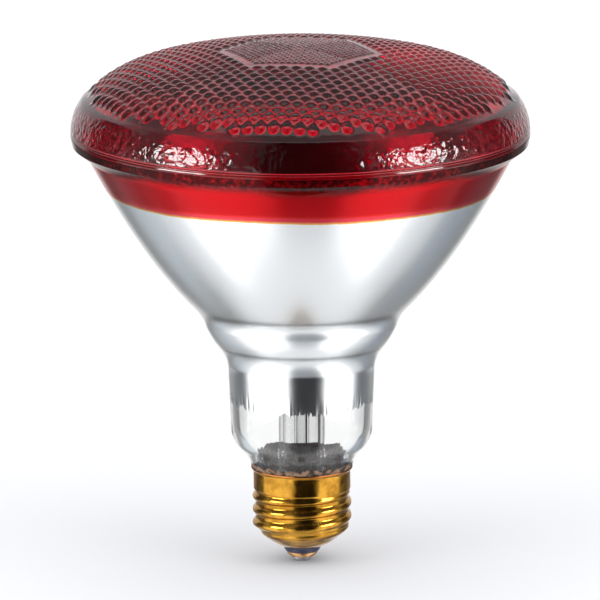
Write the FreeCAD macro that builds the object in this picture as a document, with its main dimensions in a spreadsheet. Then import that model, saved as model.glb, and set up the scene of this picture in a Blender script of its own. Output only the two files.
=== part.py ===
import FreeCAD, Part
import math
import os
import Sketcher

# Reflector heat lamp with a red domed lens, a silvered paraboloid bowl, a clear neck and a
# medium Edison screw base.
# Frame: +Z runs along the lamp's axis from the base to the lens. The origin is the lowest point
# of the centre contact. Radii are measured from the axis, heights from the origin, all in mm.

point = FreeCAD.Vector
doc = FreeCAD.newDocument("HeatLamp")

sizes = {
    # rolled brass shell, from the contact up
    "skirtFootHeight": 4.2,
    "skirtFootRadius": 5.6,
    "skirtHeight": 5.7,
    "skirtRound": 14.0,
    "rootLength": 9.0,
    "bandStep": 1.0,
    "bandLength": 4.6,
    "rimDepth": 1.0,
    "rimFlare": 0.6,
    "shellWall": 0.3,
    "crestRadius": 13.08,
    "bandInset": 0.25,
    "threadDepth": 0.75,
    "threadPitch": 3.629,
    "crestRound": 1.3,
    "flankSlope": 1.0,
    "threadLead": 1.6,
    "threadOverrun": 0.7,
    "threadTurn": -22.6,
    "runoutLength": 2.2,
    # insulator and centre contact
    "insulatorHeight": 4.2,
    "insulatorHole": 1.3,
    "noseMargin": 0.15,
    "eyeletRadius": 4.15,
    "eyeletSheet": 0.4,
    "eyeletFlatRadius": 3.0,
    "eyeletHeight": 1.0,
    "eyeletHole": 0.9,
    "eyeletRound": 1.1,
    "solderRadius": 2.6,
    "solderHeight": 1.9,
    "solderBall": 0.9,
    # cement between the shell and the glass
    "cementWall": 1.33,
    "cementTopGap": 0.1,
    "cementFootGap": 0.6,
    # clear neck, from its seal in the shell up
    "throatDrop": 3.0,
    "throatLength": 5.5,
    "throatWall": 1.5,
    "coneLength": 9.7,
    "coneFlare": 5.7,
    "coneWall": 2.86,
    "coneRound": 24.0,
    "neckShoulderHeight": 4.4,
    "neckShoulderWidth": 1.75,
    "neckShoulderRound": 8.0,
    "neckLength": 17.3,
    "neckDraft": 0.75,
    "neckWall": 2.2,
    # bowl
    "waistHeight": 5.5,
    "waistSwell": 2.6,
    "waistRound": 11.0,
    "heelRise": 8.74,
    "heelSwell": 4.3,
    "heelRound": 21.5,
    "heelInset": 1.9,
    "bowlDepth": 47.76,
    "bowlInset": 1.785,
    "bowlWall": 2.8,
    "wallFocalShare": 0.28,
    "wallVertexShare": 1.12,
    "flangeDepth": 2.0,
    "flangeDraft": 0.35,
    "flangeLedge": 4.555,
    # lens of pressed glass
    "lensDiameter": 120.65,
    "seamInset": 0.12,
    "widestAboveSeam": 1.1,
    "edgeRadius": 13.0,
    "shoulderRadius": 32.0,
    "shoulderRise": 18.44,
    "crownRise": 3.96,
    "lensWall": 3.0,
    # coatings
    "filmThickness": 0.1,
    "filmReach": 10.9,
    "lacquerThickness": 0.1,
    "lacquerDepth": 14.5,
    # stem and exhaust tube
    "stemRadius": 6.05,
    "stemWall": 1.0,
    "flareHeight": 9.0,
    "flareRound": 13.0,
    "flareDrop": 2.0,
    "pressTaper": 5.0,
    "pressHeight": 11.0,
    "pressWidth": 13.6,
    "pressThickness": 4.4,
    "pressTurn": 105.0,
    "exhaustRadius": 2.0,
    "exhaustWall": 0.5,
    "exhaustDrop": 3.4,
    "exhaustTipLength": 3.0,
    # filament mount, hung below the focus
    "mountHeight": 10.6,
    "rodRadius": 1.6,
    "rodHeight": 5.5,
    "buttonRadius": 2.7,
    "buttonHeight": 2.6,
    "buttonRound": 1.7,
    "filamentReach": 11.0,
    "filamentRadius": 0.75,
    "supportRadius": 0.2,
    "supportSpread": 50.0,
    "supportBend": 1.0,
    # lead wires
    "leadRadius": 0.22,
    "leadGap": 0.23,
    "leadBend": 1.6,
    "sideLeadTurn": 7.0,
    "leadShiftDrop": 1.0,
    "leadShiftLength": 5.0,
    "leadTurnRise": 3.8,
    "leadFootRise": 1.0,
    "wireGap": 0.05,
}

sheet = doc.addObject("Spreadsheet::Sheet", "Sizes")
for row, (alias, number) in enumerate(sizes.items(), start=1):
    sheet.set(f"A{row}", alias)
    sheet.set(f"B{row}", str(number))
    sheet.setAlias(f"B{row}", alias)
doc.recompute()

# Sizes that follow from the driving ones, in the same order. A paraboloid set inward by a wall
# stays close to a paraboloid whose focal length is less by one share of the wall and whose vertex
# is higher by another. A pole is where the tangents at the ends of a parabola's arc meet.
derived = {
    "bandRadius": "Sizes.crestRadius - Sizes.bandInset",
    "rootRadius": "Sizes.crestRadius - Sizes.threadDepth",
    "rimRadius": "bandRadius + Sizes.rimFlare",
    "rootFoot": "Sizes.skirtFootHeight + Sizes.skirtHeight",
    "rootTop": "rootFoot + Sizes.rootLength",
    "bandFoot": "rootTop + Sizes.bandStep",
    "rimFoot": "bandFoot + Sizes.bandLength",
    "shellHeight": "rimFoot + Sizes.rimDepth",
    "rimEdge": "shellHeight - Sizes.shellWall",
    "rimBore": "rimRadius - Sizes.shellWall",
    "bandBore": "bandRadius - Sizes.shellWall",
    "rootBore": "rootRadius - Sizes.shellWall",
    "bandBoreFoot": "bandFoot + Sizes.shellWall / 3",
    "rootBoreTop": "rootTop + Sizes.shellWall / 3",
    "rootBoreFoot": "rootFoot + Sizes.shellWall / 2",
    "skirtBoreRound": "Sizes.skirtRound - Sizes.shellWall",
    "skirtBoreHeight": "Sizes.skirtFootHeight + Sizes.shellWall",
    "skirtRise": "rootBoreFoot - skirtBoreHeight",
    "skirtRun": "rootBore - Sizes.skirtFootRadius",
    "skirtChord": "sqrt(skirtRise ^ 2 + skirtRun ^ 2)",
    "skirtReach": "sqrt(skirtBoreRound ^ 2 - skirtChord ^ 2 / 4)",
    "skirtCentre": "(rootBore + Sizes.skirtFootRadius) / 2 - skirtReach * skirtRise / skirtChord",
    "skirtCentreHeight": "(rootBoreFoot + skirtBoreHeight) / 2 + skirtReach * skirtRun / skirtChord",
    # thread: a crest arc with straight flanks tangent to it
    "threadFoot": "rootFoot - Sizes.threadLead",
    "threadTop": "rootTop + Sizes.threadOverrun",
    "threadSeat": "rootRadius - Sizes.shellWall / 2",
    "flankCosine": "1 / sqrt(1 + Sizes.flankSlope ^ 2)",
    "flankRadius": "Sizes.crestRadius - Sizes.crestRound * (1 - flankCosine)",
    "flankReach": "Sizes.crestRound * Sizes.flankSlope * flankCosine",
    "threadHalf": "flankReach + (flankRadius - threadSeat) / Sizes.flankSlope",
    "threadSpan": "2 * threadHalf",
    "flankLow": "threadHalf - flankReach",
    "flankHigh": "threadHalf + flankReach",
    "threadStart": "threadFoot - threadHalf",
    "threadHeight": "threadTop - threadFoot",
    "runoutOuter": "Sizes.crestRadius + Sizes.shellWall",
    "runoutFoot": "rootFoot - Sizes.shellWall",
    "runoutFull": "runoutFoot + Sizes.runoutLength",
    "runoutEnd": "threadTop - Sizes.runoutLength",
    "runoutTop": "threadTop + 2 * Sizes.shellWall",
    # insulator, eyelet and solder
    "insulatorTop": "Sizes.skirtFootHeight + Sizes.insulatorHeight",
    "insulatorDrop": "skirtCentreHeight - insulatorTop",
    "insulatorRadius": "skirtCentre + sqrt(skirtBoreRound ^ 2 - insulatorDrop ^ 2)",
    "insulatorSide": "Sizes.skirtFootRadius + Sizes.shellWall",
    "noseHeight": "Sizes.solderHeight + Sizes.eyeletHeight",
    "noseRadius": "Sizes.eyeletRadius + Sizes.noseMargin",
    "noseBoss": "Sizes.eyeletRadius - Sizes.eyeletSheet",
    "eyeletTop": "Sizes.solderHeight + Sizes.eyeletSheet",
    "solderRound": "(Sizes.solderRadius ^ 2 + Sizes.solderHeight ^ 2) / (2 * Sizes.solderHeight)",
    "solderLeadFoot": "Sizes.solderHeight / 3",
    "solderPlugTop": "eyeletTop + Sizes.eyeletSheet",
    "sideSolderReach": "rootBore - Sizes.solderBall / 3",
    # neck
    "throatRadius": "bandBore - Sizes.cementWall",
    "throatHeight": "rimFoot - Sizes.throatDrop",
    "sealHeight": "throatHeight - Sizes.throatLength",
    "coneTopRadius": "throatRadius + Sizes.coneFlare",
    "coneTopHeight": "throatHeight + Sizes.coneLength",
    "neckFootRadius": "coneTopRadius + Sizes.neckShoulderWidth",
    "neckFootHeight": "coneTopHeight + Sizes.neckShoulderHeight",
    "neckTopRadius": "neckFootRadius + Sizes.neckDraft",
    "neckTopHeight": "neckFootHeight + Sizes.neckLength",
    "throatBore": "throatRadius - Sizes.throatWall",
    "coneTopBore": "coneTopRadius - Sizes.coneWall",
    "neckFootBore": "neckFootRadius - Sizes.neckWall",
    "neckTopBore": "neckTopRadius - Sizes.neckWall",
    "throatInside": "throatHeight + Sizes.throatWall",
    "neckFootInside": "neckFootHeight + Sizes.neckWall / 4",
    "neckTopInside": "neckTopHeight + Sizes.neckWall / 2",
    # bowl
    "waistRadius": "neckTopRadius + Sizes.waistSwell",
    "waistLevel": "neckTopHeight + Sizes.waistHeight",
    "heelRadius": "waistRadius + Sizes.heelSwell",
    "heelHeight": "waistLevel + Sizes.heelRise",
    "lensRadius": "Sizes.lensDiameter / 2",
    "seamRadius": "lensRadius - Sizes.seamInset",
    "seamHeight": "heelHeight + Sizes.bowlDepth",
    "flangeRadius": "seamRadius - Sizes.flangeDraft",
    "flangeFoot": "seamHeight - Sizes.flangeDepth",
    "bowlSeamRadius": "seamRadius - Sizes.bowlInset",
    "bowlFocal": "(bowlSeamRadius ^ 2 - heelRadius ^ 2) / (4 * Sizes.bowlDepth)",
    "bowlVertex": "heelHeight - heelRadius ^ 2 / (4 * bowlFocal)",
    "bowlMouthRadius": "flangeRadius - Sizes.flangeLedge",
    "bowlMouthHeight": "bowlVertex + bowlMouthRadius ^ 2 / (4 * bowlFocal)",
    "bowlPole": "(bowlMouthRadius + heelRadius) / 2",
    "bowlPoleHeight": "bowlVertex + bowlMouthRadius * heelRadius / (4 * bowlFocal)",
    "mirrorFocal": "bowlFocal - Sizes.wallFocalShare * Sizes.bowlWall",
    "mirrorVertex": "bowlVertex + Sizes.wallVertexShare * Sizes.bowlWall",
    "focusHeight": "mirrorVertex + mirrorFocal",
    "mirrorMouth": "sqrt(4 * mirrorFocal * (seamHeight - mirrorVertex))",
    "mirrorFoot": "heelRadius - Sizes.heelInset",
    "mirrorFootHeight": "mirrorVertex + mirrorFoot ^ 2 / (4 * mirrorFocal)",
    "mirrorPole": "(mirrorMouth + mirrorFoot) / 2",
    "mirrorPoleHeight": "mirrorVertex + mirrorMouth * mirrorFoot / (4 * mirrorFocal)",
    # lens: the crown's radius follows from its rise above the shoulder
    "widestHeight": "seamHeight + Sizes.widestAboveSeam",
    "apexHeight": "widestHeight + Sizes.shoulderRise + Sizes.crownRise",
    "edgeAcross": "lensRadius - Sizes.edgeRadius",
    "shoulderLevel": "widestHeight + Sizes.shoulderRise - Sizes.shoulderRadius",
    "shoulderFall": "(Sizes.shoulderRadius - Sizes.edgeRadius) ^ 2 - (widestHeight - shoulderLevel) ^ 2",
    "shoulderAcross": "edgeAcross - sqrt(shoulderFall)",
    "crownReach": "Sizes.crownRise + 2 * Sizes.shoulderRadius",
    "crownRadius": "shoulderAcross ^ 2 / (2 * Sizes.crownRise) + crownReach / 2",
    # silver film
    "filmFocal": "mirrorFocal - Sizes.wallFocalShare * Sizes.filmThickness",
    "filmVertex": "mirrorVertex + Sizes.wallVertexShare * Sizes.filmThickness",
    "filmMouth": "sqrt(4 * filmFocal * (seamHeight - filmVertex))",
    "filmFoot": "mirrorFoot - Sizes.filmThickness",
    "filmFootHeight": "filmVertex + filmFoot ^ 2 / (4 * filmFocal)",
    "filmPole": "(filmMouth + filmFoot) / 2",
    "filmPoleHeight": "filmVertex + filmMouth * filmFoot / (4 * filmFocal)",
    "filmNeckTop": "neckTopBore - Sizes.filmThickness",
    "filmEdgeHeight": "neckTopHeight - Sizes.filmReach",
    "neckSlope": "(neckTopBore - neckFootBore) / (neckTopInside - neckFootInside)",
    "filmEdgeOuter": "neckFootBore + neckSlope * (filmEdgeHeight - neckFootInside)",
    "filmEdgeInner": "filmEdgeOuter - Sizes.filmThickness",
    # red lacquer
    "coatFocal": "bowlFocal + Sizes.wallFocalShare * Sizes.lacquerThickness",
    "coatVertex": "bowlVertex - Sizes.wallVertexShare * Sizes.lacquerThickness",
    "coatMouth": "bowlMouthRadius + Sizes.lacquerThickness / 2",
    "coatMouthHeight": "coatVertex + coatMouth ^ 2 / (4 * coatFocal)",
    "coatFlange": "flangeRadius + Sizes.lacquerThickness",
    "coatSeam": "seamRadius + Sizes.lacquerThickness",
    "coatFlangeFoot": "flangeFoot - Sizes.lacquerThickness / 2",
    "lacquerEdgeHeight": "seamHeight - Sizes.lacquerDepth",
    "coatEdgeInner": "sqrt(4 * bowlFocal * (lacquerEdgeHeight - bowlVertex))",
    "coatEdgeOuter": "sqrt(4 * coatFocal * (lacquerEdgeHeight - coatVertex))",
    "coatInnerPole": "(coatEdgeInner + bowlMouthRadius) / 2",
    "coatInnerPoleHeight": "bowlVertex + coatEdgeInner * bowlMouthRadius / (4 * bowlFocal)",
    "coatOuterPole": "(coatEdgeOuter + coatMouth) / 2",
    "coatOuterPoleHeight": "coatVertex + coatEdgeOuter * coatMouth / (4 * coatFocal)",
    # stem, exhaust tube and filament mount
    "stemBore": "Sizes.stemRadius - Sizes.stemWall",
    "flareTop": "sealHeight + Sizes.flareHeight",
    "flareInsideTop": "flareTop - Sizes.flareDrop",
    "flareLip": "sealHeight - Sizes.flareDrop",
    "flareLipRadius": "throatRadius - Sizes.flareDrop",
    "pressTop": "focusHeight - Sizes.mountHeight",
    "pressFoot": "pressTop - Sizes.pressHeight",
    "pressConeTop": "pressFoot + Sizes.pressTaper",
    "pressEdge": "Sizes.pressThickness / 2",
    "pressReach": "Sizes.pressWidth / 2 - pressEdge",
    "exhaustBore": "Sizes.exhaustRadius - Sizes.exhaustWall",
    "exhaustTipHeight": "sealHeight - Sizes.exhaustDrop",
    "exhaustShoulder": "exhaustTipHeight + Sizes.exhaustTipLength",
    "exhaustBoreFoot": "exhaustShoulder + Sizes.exhaustWall",
    "buttonFoot": "pressTop + Sizes.rodHeight",
    "buttonMiddle": "buttonFoot + Sizes.buttonHeight / 2",
    "buttonTop": "buttonFoot + Sizes.buttonHeight",
    "filamentFoot": "focusHeight - Sizes.filamentRadius - Sizes.wireGap",
    "leadCircle": "stemBore - Sizes.leadRadius - Sizes.leadGap",
    "leadShiftTop": "pressFoot - Sizes.leadShiftDrop",
    "leadShiftFoot": "leadShiftTop - Sizes.leadShiftLength",
    "leadTurnHeight": "insulatorTop + Sizes.leadTurnRise",
    "centreLeadFoot": "insulatorTop + Sizes.leadFootRise",
    # cement, bounded by the cone of the neck
    "cementTop": "rimFoot - Sizes.cementTopGap",
    "cementFoot": "sealHeight + Sizes.cementFootGap",
    "coneRun": "coneTopRadius - throatRadius",
    "coneRise": "coneTopHeight - throatHeight",
    "coneChord": "sqrt(coneRun ^ 2 + coneRise ^ 2)",
    "coneReach": "sqrt(Sizes.coneRound ^ 2 - coneChord ^ 2 / 4)",
    "coneCentre": "(coneTopRadius + throatRadius) / 2 + coneReach * coneRise / coneChord",
    "coneCentreHeight": "(coneTopHeight + throatHeight) / 2 - coneReach * coneRun / coneChord",
    "cementLift": "cementTop - coneCentreHeight",
    "cementBore": "coneCentre - sqrt(Sizes.coneRound ^ 2 - cementLift ^ 2)",
}
layout = doc.addObject("App::VarSet", "Derived")
for name, rule in derived.items():
    layout.addProperty("App::PropertyFloat", name)
for name, rule in derived.items():
    layout.setExpression(name, rule)
doc.recompute()


def size(name):
    if name in sizes:
        return float(sheet.get(name))
    return getattr(layout, name)


def cell(name):
    return f"Sizes.{name}" if name in sizes else f"Derived.{name}"


def newSketch(body, name, role="XZ_Plane"):
    sketch = body.newObject("Sketcher::SketchObject", name)
    plane = [f for f in body.Origin.OriginFeatures if f.Role == role][0]
    sketch.AttachmentSupport = (plane, [""])
    sketch.MapMode = "FlatFace"
    return sketch


def bind(sketch, kind, *where, to):
    index = sketch.addConstraint(Sketcher.Constraint(kind, *where, size(to)))
    sketch.setExpression(f"Constraints[{index}]", cell(to))


otherEnd = {1: 2, 2: 1}


def endAt(sketch, edge, place):
    # the number, 1 or 2, of the edge's end that lies at the place
    near = [(sketch.getPoint(edge, end) - place).Length for end in (1, 2)]
    return 1 if near[0] < near[1] else 2


def arcEdge(start, end, radius, side):
    # arc from start to end whose centre lies left (+1) or right (-1) of the way between them
    chord = end - start
    middle = (start + end) * 0.5
    normal = point(-chord.y, chord.x, 0).normalize()
    reach = math.sqrt(max(radius**2 - (chord.Length / 2) ** 2, 0))
    centre = middle + normal * (side * reach)
    crown = centre - normal * (side * radius)
    return Part.ArcOfCircle(start, crown, end)


def section(sketch, corners):
    # A closed outline in the half plane of radius and height. Each corner is its radius, its
    # height and the edge that leaves it: None for a straight one, ("arc", radius, side), or
    # ("parabola", radius of its pole, height of its pole). "axis" and "base" stand for zero.
    def place(corner):
        radius = 0.0 if corner[0] == "axis" else size(corner[0])
        height = 0.0 if corner[1] == "base" else size(corner[1])
        return point(radius, height, 0)

    places = [place(corner) for corner in corners]
    edges = []
    for corner, start, end in zip(corners, places, places[1:] + places[:1]):
        kind = corner[2]
        if kind is None:
            edges.append(sketch.addGeometry(Part.LineSegment(start, end)))
        elif kind[0] == "arc":
            arc = arcEdge(start, end, size(kind[1]), kind[2])
            edges.append(sketch.addGeometry(arc))
        else:
            pole = point(size(kind[1]), size(kind[2]), 0)
            curve = Part.BSplineCurve([start, pole, end], None, None, False, 2, None, False)
            edges.append(sketch.addGeometry(curve))
    starts = [endAt(sketch, edge, at) for edge, at in zip(edges, places)]
    for i, edge in enumerate(edges):
        following = (i + 1) % len(edges)
        finish = otherEnd[starts[i]]
        joint = Sketcher.Constraint("Coincident", edge, finish, edges[following], starts[following])
        sketch.addConstraint(joint)
    for corner, edge, end in zip(corners, edges, starts):
        if corner[0] == "axis":
            sketch.addConstraint(Sketcher.Constraint("PointOnObject", edge, end, -2))
        else:
            bind(sketch, "DistanceX", edge, end, to=corner[0])
        if corner[1] == "base":
            sketch.addConstraint(Sketcher.Constraint("PointOnObject", edge, end, -1))
        else:
            bind(sketch, "DistanceY", edge, end, to=corner[1])
    for corner, edge in zip(corners, edges):
        kind = corner[2]
        if kind and kind[0] == "arc":
            bind(sketch, "Radius", edge, to=kind[1])
        elif kind:
            # the spline's second pole is the second circle shown for it
            pole = sketch.GeometryCount + 1
            sketch.exposeInternalGeometry(edge)
            bind(sketch, "DistanceX", pole, 3, to=kind[1])
            bind(sketch, "DistanceY", pole, 3, to=kind[2])


def turned(name, corners):
    # a body of revolution about the lamp's axis
    body = doc.addObject("PartDesign::Body", name)
    sketch = newSketch(body, name + "Section")
    section(sketch, corners)
    turn = body.newObject("PartDesign::Revolution", name + "Turn")
    turn.Profile = sketch
    turn.ReferenceAxis = (sketch, ["V_Axis"])
    turn.Angle = 360
    sketch.Visibility = False
    return body


nodes = {}


# Lens: a shallow crown, a tighter shoulder and a small edge radius, each tangent to the next.
# The inside keeps the crown's and shoulder's centres, so the glass thickens towards the edge.
def lensBody():
    body = doc.addObject("PartDesign::Body", "lens")
    sketch = newSketch(body, "lensSection")
    crown, shoulder, edge = size("crownRadius"), size("shoulderRadius"), size("edgeRadius")
    wall = size("lensWall")
    crownCentre = point(0, size("apexHeight") - crown, 0)
    edgeCentre = point(size("edgeAcross"), size("widestHeight"), 0)
    shoulderCentre = point(size("shoulderAcross"), size("shoulderLevel"), 0)
    way = (shoulderCentre - crownCentre).normalize()
    fall = (edgeCentre - shoulderCentre).normalize()
    apex = point(0, size("apexHeight"), 0)
    crownEnd = crownCentre + way * crown
    shoulderEnd = shoulderCentre + fall * shoulder
    widest = point(size("lensRadius"), size("widestHeight"), 0)
    seam = point(size("seamRadius"), size("seamHeight"), 0)
    mouth = point(size("mirrorMouth"), size("seamHeight"), 0)
    inset = size("mirrorMouth") - shoulderCentre.x
    drop = math.sqrt(max((shoulder - wall) ** 2 - inset**2, 0))
    insideEdge = point(size("mirrorMouth"), shoulderCentre.y + drop, 0)
    insideCrownEnd = crownCentre + way * (crown - wall)
    insideApex = apex - point(0, wall, 0)
    path = [
        (mouth, seam, None),
        (seam, widest, None),
        (widest, shoulderEnd, edge),
        (shoulderEnd, crownEnd, shoulder),
        (crownEnd, apex, crown),
        (apex, insideApex, None),
        (insideApex, insideCrownEnd, -(crown - wall)),
        (insideCrownEnd, insideEdge, -(shoulder - wall)),
        (insideEdge, mouth, None),
    ]
    edges = []
    for start, end, radius in path:
        if radius is None:
            edges.append(sketch.addGeometry(Part.LineSegment(start, end)))
        else:
            side = 1 if radius > 0 else -1
            edges.append(sketch.addGeometry(arcEdge(start, end, abs(radius), side)))
    spoke = sketch.addGeometry(Part.LineSegment(crownCentre, crownEnd), True)
    starts = [endAt(sketch, number, step[0]) for number, step in zip(edges, path)]
    face, side, edgeArc, shoulderArc, crownArc, core, insideCrown, insideKnee, inner = edges

    def relate(kind, *where):
        sketch.addConstraint(Sketcher.Constraint(kind, *where))

    for i in range(len(edges)):
        after = (i + 1) % len(edges)
        tangent = edges[i] in (edgeArc, shoulderArc)
        kind = "Tangent" if tangent else "Coincident"
        relate(kind, edges[i], otherEnd[starts[i]], edges[after], starts[after])
    relate("Coincident", spoke, 1, crownArc, 3)
    relate("Coincident", spoke, 2, crownArc, starts[4])
    relate("PointOnObject", crownArc, 3, -2)
    relate("PointOnObject", crownArc, otherEnd[starts[4]], -2)
    relate("PointOnObject", insideCrown, starts[6], -2)
    relate("Coincident", insideCrown, 3, crownArc, 3)
    relate("Coincident", insideKnee, 3, shoulderArc, 3)
    relate("PointOnObject", insideCrown, otherEnd[starts[6]], spoke)
    bind(sketch, "DistanceX", face, 1, to="mirrorMouth")
    bind(sketch, "DistanceY", face, 1, to="seamHeight")
    bind(sketch, "DistanceX", face, 2, to="seamRadius")
    bind(sketch, "DistanceY", face, 2, to="seamHeight")
    bind(sketch, "DistanceX", side, 2, to="lensRadius")
    bind(sketch, "DistanceY", side, 2, to="widestHeight")
    bind(sketch, "DistanceY", edgeArc, 3, to="widestHeight")
    bind(sketch, "DistanceY", core, 1, to="apexHeight")
    bind(sketch, "DistanceY", core, 2, core, 1, to="lensWall")
    relate("Vertical", inner)
    bind(sketch, "Radius", edgeArc, to="edgeRadius")
    bind(sketch, "Radius", shoulderArc, to="shoulderRadius")
    bind(sketch, "Radius", crownArc, to="crownRadius")
    turn = body.newObject("PartDesign::Revolution", "lensTurn")
    turn.Profile = sketch
    turn.ReferenceAxis = (sketch, ["V_Axis"])
    turn.Angle = 360
    return body


nodes["lens"] = lensBody()

# Pressed glass bowl and neck in one piece, from the seam down the outside and back up inside.
nodes["reflector"] = turned("reflector", [
    ("seamRadius", "seamHeight", None),
    ("flangeRadius", "flangeFoot", None),
    ("bowlMouthRadius", "bowlMouthHeight", ("parabola", "bowlPole", "bowlPoleHeight")),
    ("heelRadius", "heelHeight", ("arc", "heelRound", -1)),
    ("waistRadius", "waistLevel", ("arc", "waistRound", 1)),
    ("neckTopRadius", "neckTopHeight", None),
    ("neckFootRadius", "neckFootHeight", ("arc", "neckShoulderRound", -1)),
    ("coneTopRadius", "coneTopHeight", ("arc", "coneRound", 1)),
    ("throatRadius", "throatHeight", None),
    ("throatRadius", "sealHeight", None),
    ("throatBore", "sealHeight", None),
    ("throatBore", "throatInside", None),
    ("coneTopBore", "coneTopHeight", ("arc", "neckShoulderRound", 1)),
    ("neckFootBore", "neckFootInside", None),
    ("neckTopBore", "neckTopInside", None),
    ("mirrorFoot", "mirrorFootHeight", ("parabola", "mirrorPole", "mirrorPoleHeight")),
    ("mirrorMouth", "seamHeight", None),
])

# Silver film inside the bowl and the top of the neck.
nodes["silver_film"] = turned("silver_film", [
    ("filmEdgeOuter", "filmEdgeHeight", None),
    ("neckTopBore", "neckTopInside", None),
    ("mirrorFoot", "mirrorFootHeight", ("parabola", "mirrorPole", "mirrorPoleHeight")),
    ("mirrorMouth", "seamHeight", None),
    ("filmMouth", "seamHeight", ("parabola", "filmPole", "filmPoleHeight")),
    ("filmFoot", "filmFootHeight", None),
    ("filmNeckTop", "neckTopInside", None),
    ("filmEdgeInner", "filmEdgeHeight", None),
])

# Red lacquer carried over the flange and the top of the bowl.
nodes["lacquer_band"] = turned("lacquer_band", [
    ("coatEdgeInner", "lacquerEdgeHeight", ("parabola", "coatInnerPole", "coatInnerPoleHeight")),
    ("bowlMouthRadius", "bowlMouthHeight", None),
    ("flangeRadius", "flangeFoot", None),
    ("seamRadius", "seamHeight", None),
    ("coatSeam", "seamHeight", None),
    ("coatFlange", "coatFlangeFoot", None),
    ("coatMouth", "coatMouthHeight", ("parabola", "coatOuterPole", "coatOuterPoleHeight")),
    ("coatEdgeOuter", "lacquerEdgeHeight", None),
])

# Stem: a tube that flares out to the foot of the neck, closed above by the flat press that
# holds the lead wires. It is turned so that the press lies across the leads.
stem = turned("stem_tube", [
    ("throatBore", "sealHeight", ("arc", "flareRound", -1)),
    ("stemRadius", "flareTop", None),
    ("stemRadius", "pressFoot", None),
    ("pressEdge", "pressConeTop", None),
    ("axis", "pressConeTop", None),
    ("axis", "pressFoot", None),
    ("stemBore", "pressFoot", None),
    ("stemBore", "flareInsideTop", ("arc", "flareRound", 1)),
    ("flareLipRadius", "flareLip", None),
    ("throatRadius", "sealHeight", None),
])


def levelSketch(body, name, height):
    sketch = newSketch(body, name, "XY_Plane")
    sketch.AttachmentOffset = FreeCAD.Placement(point(0, 0, size(height)), FreeCAD.Rotation())
    sketch.setExpression("AttachmentOffset.Base.z", cell(height))
    return sketch


pressSketch = levelSketch(stem, "pressOutline", "pressFoot")
edge, reach = size("pressEdge"), size("pressReach")
right = Part.ArcOfCircle(point(reach, -edge, 0), point(reach + edge, 0, 0), point(reach, edge, 0))
left = Part.ArcOfCircle(point(-reach, edge, 0), point(-reach - edge, 0, 0), point(-reach, -edge, 0))
upper = Part.LineSegment(point(reach, edge, 0), point(-reach, edge, 0))
lower = Part.LineSegment(point(-reach, -edge, 0), point(reach, -edge, 0))
ring = [pressSketch.addGeometry(part) for part in (right, upper, left, lower)]
for here, after in zip(ring, ring[1:] + ring[:1]):
    pressSketch.addConstraint(Sketcher.Constraint("Tangent", here, 2, after, 1))
pressSketch.addConstraint(Sketcher.Constraint("PointOnObject", ring[0], 3, -1))
pressSketch.addConstraint(Sketcher.Constraint("Symmetric", ring[0], 3, ring[2], 3, -1, 1))
bind(pressSketch, "Radius", ring[0], to="pressEdge")
bind(pressSketch, "DistanceX", ring[0], 3, to="pressReach")
press = stem.newObject("PartDesign::Pad", "press")
press.Profile = pressSketch
press.setExpression("Length", cell("pressHeight"))

leadHoles = levelSketch(stem, "leadHoles", "pressTop")
for side in (1, -1):
    circle = Part.Circle(point(side * size("leadCircle"), 0, 0), point(0, 0, 1), size("leadRadius"))
    hole = leadHoles.addGeometry(circle)
    bind(leadHoles, "Radius", hole, to="leadRadius")
leadHoles.addConstraint(Sketcher.Constraint("PointOnObject", 0, 3, -1))
leadHoles.addConstraint(Sketcher.Constraint("Symmetric", 0, 3, 1, 3, -1, 1))
bind(leadHoles, "DistanceX", 0, 3, to="leadCircle")
drilled = stem.newObject("PartDesign::Pocket", "leadPassages")
drilled.Profile = leadHoles
drilled.Type = "ThroughAll"
stem.Placement = FreeCAD.Placement(point(), point(0, 0, 1), size("pressTurn"))
stem.setExpression("Placement.Rotation.Angle", cell("pressTurn"))
nodes["stem_tube"] = stem

# Exhaust tube, open into the press and drawn to a closed tip in the base.
nodes["exhaust_tube"] = turned("exhaust_tube", [
    ("exhaustRadius", "pressFoot", None),
    ("exhaustBore", "pressFoot", None),
    ("exhaustBore", "exhaustBoreFoot", None),
    ("axis", "exhaustBoreFoot", None),
    ("axis", "exhaustTipHeight", None),
    ("exhaustRadius", "exhaustShoulder", None),
])

# Glass rod with the button that carries the filament supports.
nodes["support_rod"] = turned("support_rod", [
    ("axis", "pressTop", None),
    ("rodRadius", "pressTop", None),
    ("rodRadius", "buttonFoot", ("arc", "buttonRound", 1)),
    ("buttonRadius", "buttonMiddle", ("arc", "buttonRound", 1)),
    ("rodRadius", "buttonTop", None),
    ("axis", "buttonTop", None),
])

# Filament: half a wreath round the rod, through the focus, between the two leads.
filament = doc.addObject("Part::Torus", "filament")
filament.setExpression("Radius1", cell("filamentReach"))
filament.setExpression("Radius2", cell("filamentRadius"))
filament.Angle3 = 180
filament.Placement = FreeCAD.Placement(point(), point(0, 0, 1), size("pressTurn") - 180)
filament.setExpression("Placement.Base.z", cell("focusHeight"))
filament.setExpression("Placement.Rotation.Angle", cell("pressTurn") + " - 180")
nodes["filament"] = filament


def around(reach, turn, height):
    # a place by its reach from the axis, its turn about it in degrees and its height
    angle = math.radians(turn)
    return point(reach * math.cos(angle), reach * math.sin(angle), height)


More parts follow.
